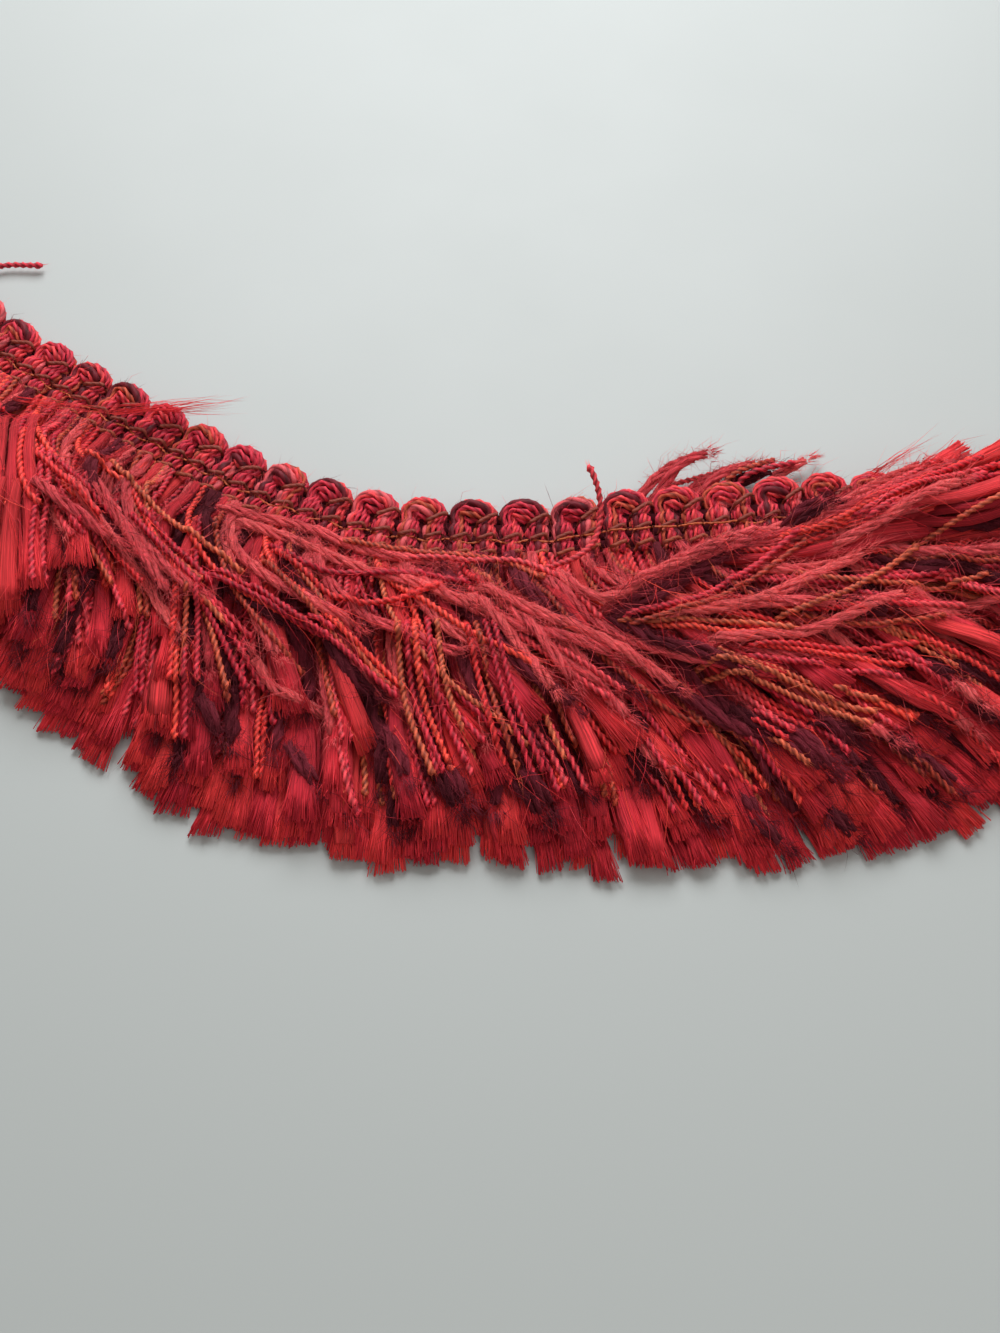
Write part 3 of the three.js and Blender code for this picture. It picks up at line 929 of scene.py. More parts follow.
@dataclass
class Skirt:
    """The skirt: layers of yarn that hang from the heading's near edge, combed to one side."""

    comb_at: tuple = (-112, -60, -40, -20, 0, 12, 22, 40, 60, 78, 88)
    combs: tuple = (
        (22, 18, 10, 4, 5, 10, 15, 27, 30, 32, 33),
        (30, 28, 22, 16, 18, 24, 30, 40, 44, 44, 44),
        (42, 42, 38, 32, 32, 40, 46, 58, 62, 60, 54),
        (58, 66, 72, 58, 54, 68, 82, 92, 92, 80, 62),
        (72, 90, 102, 84, 70, 96, 116, 118, 106, 84, 58),
        (72, 90, 102, 84, 70, 96, 116, 116, 103, 86, 70),
    )
    reach_at: tuple = (-112, -80, -60, -45, -28, -16, -8, -1, 6, 14, 30, 50, 88)
    reach: tuple = (0.88, 0.86, 0.845, 0.87, 0.96, 1.0, 0.96, 0.94, 0.97, 1.02, 1.03, 0.99, 0.97)
    edge: float = 5.2  # distance out of the roots
    straight: float = -2.0  # where a strand starts to bend; below 0 it leaves the heading with a lean
    second_wave: float = 1.3  # size of the second wave in a strand's course, for 1 of the first
    calm: float = 12.0  # how far from its root a strand wanders less
    heading: tuple = (-5.6, 4.9, 4.5)  # distances out of the heading's edges, and its top
    inset: float = 0.5  # how far inside the heading's two ends the roots stay
    jitter: float = 0.3  # how far a group is off its even place, as a share of the spacing
    astray: tuple = (0.6, 1.4)  # usual and greatest share of its layer's stray that a group takes
    cut: tuple = (-1.0, 0.6)  # shares of its layer's unevenness by which a group is longer
    powers: tuple = (1.6, 2.8)  # least and most of how soon a strand takes its lean
    waves: tuple = ((14, 26), (22, 44))  # shortest and longest of its two waves
    apart: float = 2.3  # between the strands of a group, in half widths
    alike: tuple = (1.6, 1.5)  # degrees and millimetres by which they differ
    run_in: float = 5.0  # how far before its first point a drape starts
    splay: float = 1.25  # how many times farther apart a drape's tips are than its roots
    uneven: float = 0.15  # how far a drape's strand is off its place
    layers: tuple = (
        Layer(Yarn.FLOSS, 1, 2.12, 52.5, 2.2, 0.0, 1.6, 0.9),
        Layer(Yarn.FLOSS, 1, 3.3, 51.5, 1.6, 0.1, 2, 1.0, first=-72, last=84),
        Layer(Yarn.FLOSS, 1, 2.6, 51.0, 2.4, 0.2, 3, 1.2),
        Layer(Yarn.MAROON, 1, 4.6, 49, 2.5, 0.4, 7, 1.4),
        Layer(Yarn.FLOSS, 1, 3.2, 48.0, 3.0, 0.6, 6, 1.6),
        Layer(Yarn.GOLD, 2, 10.5, 46, 5, 0.6, 8, 1.9),
        Layer(Yarn.CRIMSON, 2, 8.4, 46, 5, 0.9, 9, 2.1),
        Layer(Yarn.VERMILION, 2, 11.0, 46, 5, 0.9, 9, 2.3),
        Layer(Yarn.FLOSS, 1, 4.4, 45, 4.0, 1.1, 8, 2.4),
        Layer(Yarn.MAROON, 1, 6.0, 45, 4, 1.3, 9, 2.5),
        Layer(Yarn.CORAL, 1, 11.0, 43, 5, 1.7, 9, 2.7),
        Layer(Yarn.CRIMSON, 3, 10.4, 43, 6, 1.7, 11, 2.9),
        Layer(Yarn.GOLD, 2, 13.0, 42, 6, 2.0, 12, 3.1),
        Layer(Yarn.VERMILION, 2, 15.0, 42, 6, 2.1, 12, 3.2),
        Layer(Yarn.MAROON, 1, 15.0, 42, 5, 2.2, 12, 3.3),
        Layer(Yarn.FLOSS, 1, 6.0, 41, 6, 2.1, 11, 3.3),
        Layer(Yarn.FLOSS, 1, 9.0, 42, 5, 2.7, 9, 3.4, last=-80),
        Layer(Yarn.CORAL, 1, 11.0, 42, 4, 2.9, 9, 3.4, last=70),
        Layer(Yarn.CRIMSON, 2, 11.0, 42, 5, 3.0, 12, 3.6),
        Layer(Yarn.MAROON, 1, 18.0, 42, 5, 3.0, 12, 3.6),
        Layer(Yarn.GOLD, 1, 11.0, 42, 5, 3.2, 12, 3.7),
        Layer(Yarn.VERMILION, 1, 12.0, 42, 5, 3.4, 12, 3.7),
        Layer(Yarn.VERMILION, 2, 9.0, 40, 6, 3.2, 9, 3.7, last=-76),
        Layer(Yarn.CORAL, 1, 14.0, 34, 8, 3.6, 12, 3.8, last=-66),
        Layer(Yarn.CRIMSON, 2, 9.0, 36, 8, 3.4, 12, 3.8, last=-62),
        Layer(Yarn.VERMILION, 1, 9.0, 26, 9, 3.6, 16, 3.9, last=-62),
        Layer(Yarn.CORAL, 1, 15.0, 43, 4, 3.9, 6, 3.8, last=60),
        Layer(Yarn.FLOSS, 1, 7.0, 43, 5, 3.6, 9, 3.6, first=24, sharp=2.0),
        Layer(Yarn.MAROON, 1, 20.0, 42, 5, 3.6, 9, 3.6, first=22, sharp=2.0),
        Layer(Yarn.CRIMSON, 2, 8.0, 41, 6, 4.0, 7, 3.8, first=24, sharp=2.4),
        Layer(Yarn.CORAL, 1, 6.5, 41, 5, 4.2, 7, 3.9, first=22, last=54, sharp=2.4),
        Layer(Yarn.VERMILION, 1, 6.0, 40, 6, 4.4, 7, 4.0, first=26, sharp=2.6),
        Layer(Yarn.FLOSS, 1, 5.0, 40, 6, 4.4, 7, 4.0, first=38, sharp=2.6),
        Layer(Yarn.VERMILION, 2, 8.0, 40, 6, 4.7, 7, 4.0, first=34, sharp=2.6),
        Layer(Yarn.CORAL, 1, 9.0, 41, 6, 4.9, 5, 4.0, first=34, last=52, sharp=2.8),
        Layer(Yarn.CRIMSON, 2, 9.0, 40, 6, 4.9, 6, 4.1, first=40, sharp=2.8),
        Layer(Yarn.FLOSS, 1, 6.0, 38, 6, 4.8, 7, 4.1, first=50, sharp=2.8),
    )
    # Floss on the floor, under everything else
    low: tuple = (
        Drape((Yarn.FLOSS, Yarn.FLOSS), ((-9, 24), (-6, 37), (-3.2, 51)), 2.2),
        Drape((Yarn.FLOSS, Yarn.FLOSS), ((7.5, 24), (11, 38), (13.4, 51)), 2.2),
    )
    drapes: tuple = (
        Drape((Yarn.FLOSS, Yarn.FLOSS, Yarn.FLOSS), ((-79, 13), (-72, 21), (-64, 30), (-56, 40)), 2.2),
        Drape((Yarn.FLOSS, Yarn.FLOSS), ((-66, 22), (-60, 32), (-54, 41)), -2.2),
        Drape((Yarn.CRIMSON, Yarn.CRIMSON), ((-68, 16), (-62.5, 22), (-57, 30.5), (-52.5, 36)), 1.4),
        Drape((Yarn.VERMILION, Yarn.GOLD, Yarn.CRIMSON), ((-38, 24), (-35.5, 31), (-33, 38.5)), 1.4),
        Drape((Yarn.VERMILION,), ((-73, 13.5), (-68, 20), (-62.5, 24.5), (-59, 25.5))),
        Drape((Yarn.VERMILION,), ((-68, 18), (-60.5, 19.5), (-51, 22))),
        Drape((Yarn.CRIMSON,), ((-66.5, 16.5), (-58.5, 18.5), (-48.5, 21))),
        Drape((Yarn.CORAL,), ((-64.5, 22), (-54.5, 23.5), (-46, 23.5))),
        Drape((Yarn.CORAL,), ((-57.5, 16.5), (-45.5, 22), (-37, 27.5))),
        Drape((Yarn.GOLD,), ((-60.5, 10.5), (-49, 14.5), (-39.5, 16.5), (-32.5, 18))),
        Drape((Yarn.CRIMSON, Yarn.CRIMSON), ((-50.5, 17.5), (-42.5, 20.5), (-35, 24))),
        Drape((Yarn.CORAL,), ((-20, 35), (-23, 34.5), (-27.5, 29.5))),
        Drape((Yarn.VERMILION, Yarn.CRIMSON), ((-34.5, 33), (-32, 40.5), (-30.5, 46))),
        Drape((Yarn.GOLD,), ((-31.5, 14.5), (-24, 20.5), (-17.5, 27.5), (-12.5, 31.5))),
        Drape((Yarn.CRIMSON, Yarn.CRIMSON), ((-36.5, 21), (-27.5, 22.5), (-19.5, 26))),
        Drape((Yarn.CRIMSON,), ((-31, 20), (-21, 25), (-11.5, 33))),
        Drape(
            (Yarn.GOLD, Yarn.CRIMSON, Yarn.VERMILION, Yarn.CRIMSON, Yarn.GOLD),
            ((-13, 20), (-11, 33), (-7.5, 44.5)),
        ),
        Drape(
            (Yarn.VERMILION, Yarn.GOLD, Yarn.CRIMSON, Yarn.CRIMSON),
            ((-5, 20), (-1.5, 35.5), (2, 46)),
        ),
        Drape((Yarn.CORAL,), ((-42, 8), (-29.5, 5.5), (-18.5, 7), (-7, 8.5))),
        Drape((Yarn.CORAL,), ((-38, 8.5), (-25, 9.5), (-13.5, 13), (-2.5, 19.5))),
        Drape((Yarn.MAROON,), ((14, 19.5), (21.3, 25.5), (26.5, 28.1), (32, 32.4))),
        Drape((Yarn.MAROON,), ((28.9, 34.9), (32.9, 39.4), (37.7, 43.5))),
        Drape((Yarn.CORAL, Yarn.CORAL), ((-5, 15), (2.5, 24), (8, 33.5)), 2.2),
        Drape((Yarn.CORAL,), ((-4, 14), (6, 20), (16, 26), (24, 33))),
        Drape((Yarn.GOLD,), ((-23.5, 6), (-15, 6), (-4.5, 6), (1, 7.5), (6.5, 12))),
        Drape((Yarn.CRIMSON,), ((-14, 8), (-6, 7.5), (3, 8), (9, 12.5), (14, 20))),
        Drape((Yarn.CRIMSON,), ((-32.5, 11), (-25, 13.5), (-16, 12), (-4.5, 12.5))),
        Drape((Yarn.VERMILION,), ((-31, 12.5), (-26, 15), (-20, 18.5), (-14, 17.5), (-8, 15.5))),
        Drape((Yarn.GOLD, Yarn.GOLD, Yarn.GOLD), ((26, 30.5), (34, 33), (41.5, 37.5), (48, 40.5))),
        Drape((Yarn.CRIMSON, Yarn.VERMILION), ((31.5, 28), (42.5, 31), (53, 34.5)), 1.6),
        Drape((Yarn.VERMILION,), ((31.5, 26.5), (40.5, 27.5), (48.5, 29), (56.5, 29.5))),
        Drape((Yarn.CORAL,), ((27, 25), (39.5, 25.5), (48.5, 24), (57.5, 22))),
        Drape((Yarn.GOLD, Yarn.VERMILION), ((15, 21), (26, 22), (32.5, 23), (40, 25))),
        Drape((Yarn.CORAL,), ((21.5, 21), (33, 20.5), (42.5, 17.5), (53.5, 14))),
        Drape((Yarn.MAROON, Yarn.MAROON), ((15.4, 20.4), (20.7, 18.6), (28.6, 12.9), (35, 9.4)), 1.5),
        Drape((Yarn.GOLD,), ((37, 22.5), (46, 21), (52.5, 18.5), (60, 14.5))),
        Drape((Yarn.CRIMSON, Yarn.GOLD), ((15.5, 21), (27, 18.5), (35, 14), (43.5, 9)), -1.5),
        Drape((Yarn.CORAL,), ((14, 18.5), (22.5, 14.5), (29, 11), (38.5, 8))),
        Drape((Yarn.CORAL,), ((8.5, 10), (10.5, 14.5), (15.5, 17.5), (22.5, 14), (37, 7), (46, 4.5))),
        Drape((Yarn.CORAL,), ((44.5, 9), (53.5, 2.5), (62.5, -1.5), (68.5, -3.5))),
        Drape((Yarn.CRIMSON,), ((51.5, 5), (62, 0), (70, -3))),
        Drape((Yarn.VERMILION,), ((54, 6.5), (64.5, 2.5), (76, -2))),
        Drape((Yarn.CRIMSON, Yarn.CRIMSON), ((51.5, 11), (62, 6), (75, 2.5))),
        Drape((Yarn.CORAL,), ((46.5, 13), (56, 10.5), (70, 5.5))),
        Drape((Yarn.GOLD,), ((60, 13.5), (69.5, 11), (77, 10))),
        Drape((Yarn.MAROON, Yarn.MAROON), ((43.5, 7.4), (47, 6), (50.5, 5.4)), 1.4),
        # Dark maroon ends between the tufts of the lower edge, partly standing for the shade in the gaps
        # there, and cord ends
        Drape((Yarn.MAROON,), ((-30, 38.5), (-27.6, 41.6), (-25.9, 44.5))),
        Drape((Yarn.MAROON,), ((-20.5, 41.7), (-18.5, 45.2), (-16.8, 48.2))),
        Drape((Yarn.MAROON,), ((-12.4, 37.6), (-10.4, 43.1), (-9.3, 46.8))),
        Drape((Yarn.MAROON, Yarn.MAROON), ((-6.9, 43.6), (-5.5, 47.7), (-4.2, 50)), 1.5),
        Drape((Yarn.MAROON, Yarn.MAROON), ((2.3, 44.2), (4.9, 48.4), (6.2, 51)), 1.6),
        Drape((Yarn.CRIMSON, Yarn.VERMILION, Yarn.CRIMSON), ((18.1, 44), (19.7, 47.5), (20.4, 50)), 1.5),
        Drape((Yarn.CRIMSON, Yarn.CRIMSON), ((22.8, 43), (24.6, 46), (25.8, 48.5)), 1.7),
        Drape((Yarn.MAROON,), ((28.7, 47.5), (30.8, 51), (32, 53))),
        Drape((Yarn.VERMILION, Yarn.CRIMSON), ((29.1, 40.8), (31.1, 44.5), (32.4, 47.5)), 1.5),
        Drape((Yarn.MAROON, Yarn.MAROON), ((34.4, 40.6), (37.9, 44.2), (41.2, 47.5)), 1.7),
        Drape((Yarn.MAROON,), ((40.1, 38.6), (43.5, 41), (46.4, 43.8))),
        Drape((Yarn.MAROON,), ((37.7, 42.5), (39.9, 45.3), (42.2, 47.8))),
        Drape((Yarn.MAROON,), ((49.5, 41.7), (51.6, 44.5), (53.8, 47.1))),
        Drape((Yarn.MAROON,), ((56.2, 32.3), (58.3, 35.2), (60.6, 37.9))),
        Drape((Yarn.MAROON,), ((60.6, 38.9), (62.7, 41.9), (64.8, 44.5))),
        Drape((Yarn.MAROON,), ((54.6, 46.1), (56.6, 48.9), (58.7, 51.5))),
        Drape((Yarn.MAROON,), ((30, 51.3), (32.2, 54), (34.5, 56.4))),
        Drape((Yarn.MAROON,), ((39.7, 51.3), (41.8, 54), (44, 56.4))),
        Drape((Yarn.CORAL,), ((46.7, 39.2), (48.8, 42), (51.1, 44.6))),
        Drape((Yarn.CORAL,), ((58.5, 36.1), (60.6, 39), (62.8, 41.7))),
        Drape((Yarn.VERMILION, Yarn.CRIMSON), ((30.7, 36.8), (33.1, 39.6), (35.5, 42.1)), 1.5),
        Drape((Yarn.VERMILION,), ((26.8, 42.4), (29.1, 45.1), (31.4, 47.5))),
        Drape((Yarn.VERMILION,), ((54, 36.2), (56.2, 39.1), (58.4, 41.7))),
        Drape((Yarn.GOLD,), ((33.1, 40.7), (35.3, 43.4), (37.7, 45.9))),
        Drape((Yarn.GOLD,), ((52.3, 45.4), (54.4, 48.2), (56.6, 50.8))),
    )
    routes: tuple = (
        # Folded back under the heading, and out behind its scallops
        Route(Yarn.CRIMSON, ((-111, 2, 1), (-110.5, -6, 1), (-109, -12, 1.2), (-103, -17, 1.2))),
        Route(Yarn.CRIMSON, ((19, 2, 1), (21, -3, 0.9), (27, -7.8, 1), (33, -9.2, 1.4), (41, -10.8, 1.2))),
        Route(Yarn.CORAL, ((25, 2, 1), (28, -4, 1), (32, -7.4, 1.4), (37, -9.6, 1.8), (41, -10.6, 1.6))),
        Route(Yarn.CORAL, ((28, 2, 1), (31, -4, 1), (35, -7.6, 2.6), (39, -9, 3.2), (44, -9.8, 3))),
        Route(Yarn.MAROON, ((31, 2, 1), (34, -4, 1), (38, -6.8, 1.6), (43, -8.4, 2.2), (47, -8.9, 1.6))),
        Route(Yarn.GOLD, ((29, 2, 1), (33, -4, 1), (38, -7.8, 3.2), (42, -9.2, 3.2), (45.5, -10.4, 2.4))),
        Route(Yarn.CRIMSON, ((33, 2, 1), (36, -4, 1), (40, -7.4, 3), (44, -8.2, 3.6), (48.5, -9, 3))),
        Route(Yarn.CORAL, ((39, 2, 1), (41.5, -4, 1), (45, -7.4, 1.8), (49, -9.4, 2), (52.5, -10.6, 1.8))),
        Route(Yarn.CORAL, ((18, 2, 1), (21, -4, 1), (25, -8.3, 2.5), (29, -10.6, 3.6), (34, -11.8, 3.4))),
        Route(Yarn.CORAL, ((21, 2, 1), (24, -4, 1), (27.5, -8.2, 3.4), (31.5, -10.8, 4.6), (36, -12, 3.8))),
        # The crimson cord that stands up from the skirt and leans back over the heading
        Route(
            Yarn.CRIMSON,
            ((4, 11.5, 4.5), (6.7, 9.8, 6.2), (11, 9, 8), (13.8, 6.5, 8.4))
            + ((15, 3, 9.6), (15, 0, 11.4), (14.3, -2.5, 12.8), (13.6, -4.2, 13.2)),
        ),
    )
    stray_tufts: tuple = (
        StrayTuft((-60, -2.5, 5), (-48.5, -9.6, 7), 2.0, 16),
        StrayTuft((-81, 9.5, 6), (-62, 0.8, 6.2), 1.2, 12),
        StrayTuft((-66, 2.5, 6), (-51, -9.4, 6.5), 1.6, 22),
        StrayTuft((58, -1, 9), (70, -6.5, 9), 2.4, 14),
        StrayTuft((66, -1, 9), (76, -5.5, 10), 2.4, 12),
    )
    # Of each yarn, how many loose fibres lie on the pile, and how long the shortest and longest are
    loose: tuple = (
        (Yarn.FLOSS, 450, 5.0, 14.0),
        (Yarn.MAROON, 450, 3.0, 10.0),
        (Yarn.CRIMSON, 200, 4.0, 10.0),
        (Yarn.VERMILION, 250, 4.0, 12.0),
        (Yarn.GOLD, 60, 4.0, 8.0),
        (Yarn.CORAL, 500, 3.0, 10.0),
    )
    pile: Pile = field(default_factory=Pile)
    strands: list = field(default_factory=list)

    def course(self, at: float, bend: Bend) -> Array:
        """A strand's path in plan: straight out of the heading, then bent to its lean, and wandering.

        Its direction after a distance g is out + lean·(1 - (1 - b)^power) + wander·sines(g), where b is
        the share of the way past the straight start.

        Args:
            at: the root's station.
            bend: how it bends.

        Returns:
            (n, 2) points STEP apart.
        """
        gone = np.arange(0.0, bend.length, STEP)
        bent = np.clip((gone - self.straight) / (bend.length - self.straight), 0.0, 1.0)
        sines = np.sin(TURN * gone / bend.waves[0] + bend.phases[0])
        sines = sines + self.second_wave * np.sin(TURN * gone / bend.waves[1] + bend.phases[1])
        angle = LIE.turn(at) - np.pi / 2 + np.radians(bend.lean) * (1 - (1 - bent) ** bend.power)
        angle = angle + np.radians(bend.wander) * sines * smoothstep(gone / self.calm)
        steps = STEP * np.stack([np.cos(angle), np.sin(angle)], axis=1)
        start = LIE.place(at, self.edge, 0.0)[:2]
        return start + np.concatenate([np.zeros((1, 2)), np.cumsum(steps[:-1], axis=0)])

    def comb(self, at: float, level: float) -> float:
        """The lean at a station, by straight lines between two stations of two combs.

        Args:
            at: the station.
            level: the comb's number, or a number between two.

        Returns:
            Degrees.
        """
        rows = [np.interp(at, self.comb_at, row) for row in self.combs]
        return float(np.interp(level, np.arange(len(rows)), rows))

    def add(self, yarn: Yarn, plan: Array, root: float, rng: Rng) -> None:
        """Lays one strand on the pile and keeps it.

        Args:
            yarn: its kind.
            plan: (n, 2) its path in plan.
            root: the height that it starts at.
            rng: the source of chance.
        """
        make = MAKES[yarn]
        path = self.pile.lay(plan, make, root)
        self.pile.cover(path, make)
        self.strands.append(Strand(yarn, path, tuple(rng.uniform(0, 1, 2))))

    def lay_heading(self) -> None:
        """Puts the heading in the pile, so that strands swept over it lie on it."""
        near, far, height = self.heading
        for at in np.arange(LIE.first, LIE.end, STEP):
            top = LIE.lift(at) + height
            cells = self.pile.cells(LIE.place(at, np.arange(near, far, STEP), top))
            np.maximum.at(self.pile.tops, cells, float(top))

    def lay(self, rng: Rng) -> None:
        """Lays every layer, lowest first, and the drapes, and then marks where the strands show.

        Args:
            rng: the source of chance.
        """
        self.lay_heading()
        for drape in self.low:
            self.lay_drape(drape, np.random.default_rng(LOW_SEED))
        for layer in self.layers:
            self.lay_layer(layer, rng)
        for drape in self.drapes:
            self.lay_drape(drape, rng)
        for strand in self.strands:
            self.pile.mark_shown(strand)
        for route in self.routes:
            path = curve_through(LIE.place(*np.array(route.points, dtype=float).T))
            shown = np.ones(len(path), dtype=bool)
            self.strands.append(Strand(route.yarn, path, tuple(rng.uniform(0, 1, 2)), shown))

    def lay_layer(self, layer: Layer, rng: Rng) -> None:
        """Lays one layer from its right-hand end, in groups that bend alike.

        Args:
            layer: the layer.
            rng: the source of chance.
        """
        make = MAKES[layer.yarn]
        spread, limit = self.astray
        degrees, millimetres = self.alike
        for n in reversed(range(int((layer.last - layer.first) / layer.spacing))):
            middle = layer.first + (n + 0.5 + rng.uniform(-self.jitter, self.jitter)) * layer.spacing
            astray = layer.stray * float(np.clip(rng.normal(0, spread), -limit, limit))
            lean = self.comb(middle, layer.comb) + astray
            length = layer.length * np.interp(middle, self.reach_at, self.reach)
            length += layer.uneven * rng.uniform(*self.cut)
            power, waves = layer.sharp * rng.uniform(*self.powers), tuple(rng.uniform(*self.waves))
            bend = Bend(lean, length, power, waves, tuple(rng.uniform(0, TURN, 2)), make.wander)
            for k in range(layer.group):
                at = middle + (0.5 * layer.group - k) * self.apart * make.wide
                at = float(np.clip(at, LIE.first + self.inset, LIE.end - self.inset))
                own = {"lean": lean + rng.normal(0, degrees)}
                own["length"] = length + rng.uniform(-millimetres, millimetres)
                root = layer.root + float(LIE.lift(at)) * 0.5
                self.add(layer.yarn, self.course(at, replace(bend, **own)), root, rng)

    def lay_drape(self, drape: Drape, rng: Rng) -> None:
        """Lays the strands of a drape side by side. Each starts under the pile, a little further back.

        Args:
            drape: the strands.
            rng: the source of chance.
        """
        at, out = (np.array(column, dtype=float) for column in zip(*drape.points))
        for k, yarn in enumerate(drape.yarns):
            knots = LIE.place(at, out, 0.0)[:, :2]
            knots = np.concatenate([knots[:1] + self.run_in * unit(knots[:1] - knots[1:2]), knots])
            side = Pile.across(knots)
            spread = np.linspace(1.0, self.splay, len(knots)) * k * drape.apart
            plan = curve_through(knots + side * spread[:, None] + rng.normal(0, self.uneven, (1, 2)))
            self.add(yarn, plan, drape.root, rng)

    def build(self, rng: Rng) -> None:
        """Makes one piece of each kind of yarn, and two of the floss.

        Args:
            rng: the source of chance.
        """
        winds = {Yarn.FLOSS: wind_floss, Yarn.CORAL: wind_wool, Yarn.MAROON: wind_wool}
        for yarn, make in MAKES.items():
            spool = Spool()
            wind = winds.get(yarn, wind_cord)
            strands = [strand for strand in self.strands if strand.yarn is yarn]
            for n, strand in enumerate(strands):
                wind(spool, strand, make, rng)
                if yarn is Yarn.FLOSS and n == len(strands) // 2:
                    spool.piece("floss_under", make.slot, make.node, make.finish.material())
                    spool = Spool()
            self.add_loose_fibres(spool, strands, rng)
            if yarn is Yarn.FLOSS:
                self.add_stray_tufts(spool, rng)
            spool.piece(make.piece, make.slot, make.node, make.finish.material())

    def add_loose_fibres(self, spool: Spool, strands: list[Strand], rng: Rng) -> None:
        """Adds long single fibres that lie loosely on the pile.

        Each starts on a strand of its yarn that shows, at an angle to it, and turns evenly. Its height at
        a distance g along it is max(top + 0.3·g, so far) - 0.3·g, so it slopes down where the pile ends.

        Args:
            spool: where they go.
            strands: the strands of the yarn.
            rng: the source of chance.
        """
        count, shortest, longest = next(row[1:] for row in self.loose if row[0] is strands[0].yarn)
        knots, slope, floor, edge = 5, 0.3, 0.1, 1.0
        spots = np.concatenate([strand.path[strand.shown] for strand in strands])
        ways = np.concatenate([np.gradient(strand.path, axis=0)[strand.shown] for strand in strands])
        pick = rng.integers(0, len(spots), count)
        share = np.linspace(0.0, 1.0, knots)
        angle = np.arctan2(ways[pick, 1], ways[pick, 0]) + rng.normal(0, 0.35, count)
        angle = angle[:, None] + rng.normal(0, 0.5, (count, 1)) * share
        length = rng.uniform(shortest, longest, (count, 1))
        points = np.empty((count, knots, 3))
        for axis, part in enumerate((np.cos(angle), np.sin(angle))):
            run = np.cumsum(part, axis=1) * length / (knots - 1)
            points[..., axis] = spots[pick, axis : axis + 1] + run
        sunk = slope * (length * share)
        top = self.pile.tops[self.pile.cells(points)] + sunk
        rise = rng.uniform(0.1, 0.9, (count, 1)) * np.sin(np.pi * share)
        points[..., 2] = np.maximum(np.maximum.accumulate(top, axis=1) - sunk + rise, floor)
        # One that would end beyond the pile is left out
        points = points[self.pile.tops[self.pile.cells(points[:, -1])] > edge]
        kept = len(points)
        spool.hairs(points, rng.uniform(0.03, 0.05, kept), rng.uniform(0, 1, (kept, 2)))

    def add_stray_tufts(self, spool: Spool, rng: Rng) -> None:
        """Adds the long single filaments that fan out over the heading.

        Args:
            spool: where they go.
            rng: the source of chance.
        """
        for tuft in self.stray_tufts:
            start, end = LIE.place(*np.array([tuft.base, tuft.tip], dtype=float).T)
            size = (tuft.count, 3)
            starts = start + rng.normal(0, 0.5, size) * (1, 1, 0.4)
            ends = start + (end - start) * rng.uniform(0.6, 1.05, (tuft.count, 1))
            ends = ends + rng.normal(0, 0.55 * tuft.spread, size) * (1, 1, 0.6)
            middles = 0.5 * (starts + ends) + rng.normal(0, 0.35, size)
            tint = np.stack([rng.uniform(low, 1, tuft.count) for low in (0.5, 0)], axis=1)
            points = np.stack([starts, middles, ends], axis=1)
            spool.hairs(points, rng.uniform(0.035, 0.06, tuft.count), tint)


def rings_along(strand: Strand, make: Make) -> Array:
    """Distances for a tube's rings: close together where it shows and far apart where it is buried.

    Args:
        strand: the strand.
        make: its yarn.

    Returns:
        (n,) distances along its path, at equal steps of the summed density.
    """
    gone = along(strand.path)
    density = np.where(strand.shown, 1 / make.fine, 1 / make.coarse)
    total = np.concatenate([[0.0], np.cumsum(0.5 * (density[1:] + density[:-1]) * np.diff(gone))])
    return np.interp(np.linspace(0, total[-1], max(int(total[-1]), 3) + 1), total, gone)


def wind_cord(spool: Spool, strand: Strand, make: Make, rng: Rng) -> None:
    """Adds a tightly twisted cord: a tube whose two plies turn with its length, and a few hairs.

    It turns by -1/pitch of a turn for each millimetre that shows, and slackens a little near the cut end,
    where it also swells: size = 1 + 0.2·exp(-((left - 0.7) / 0.6)²), with left the way to the end.

    Args:
        spool: where it goes.
        strand: its path and colour.
        make: its yarn.
        rng: the source of chance.
    """
    groove, slack, slack_run = 0.66, 0.15, 8.0
    swell, swell_at, swell_run, end_size = 0.2, 0.7, 0.6, 0.75
    distances = rings_along(strand, make)
    path = resampled(strand.path, distances)
    shows = np.interp(distances, along(strand.path), strand.shown.astype(float))
    turned = np.concatenate([[0.0], np.cumsum(np.diff(distances) * (shows[1:] > 0.5))])
    left = distances[-1] - distances
    turned = turned - slack * np.maximum(slack_run - left, 0.0)
    twist = -TURN * turned / (make.pitch * rng.uniform(0.95, 1.3)) + rng.uniform(0, TURN)
    size = 1 + swell * np.exp(-(((left - swell_at) / swell_run) ** 2))
    size[-1] *= end_size
    size = size * rng.uniform(0.92, 1.08)
    spool.tube(path, make.wide * size, make.tall * size, *lobes(4, groove), twist, strand.tint)
    add_fuzz(spool, strand, make, rng)
    add_tuft(spool, strand, make, rng)


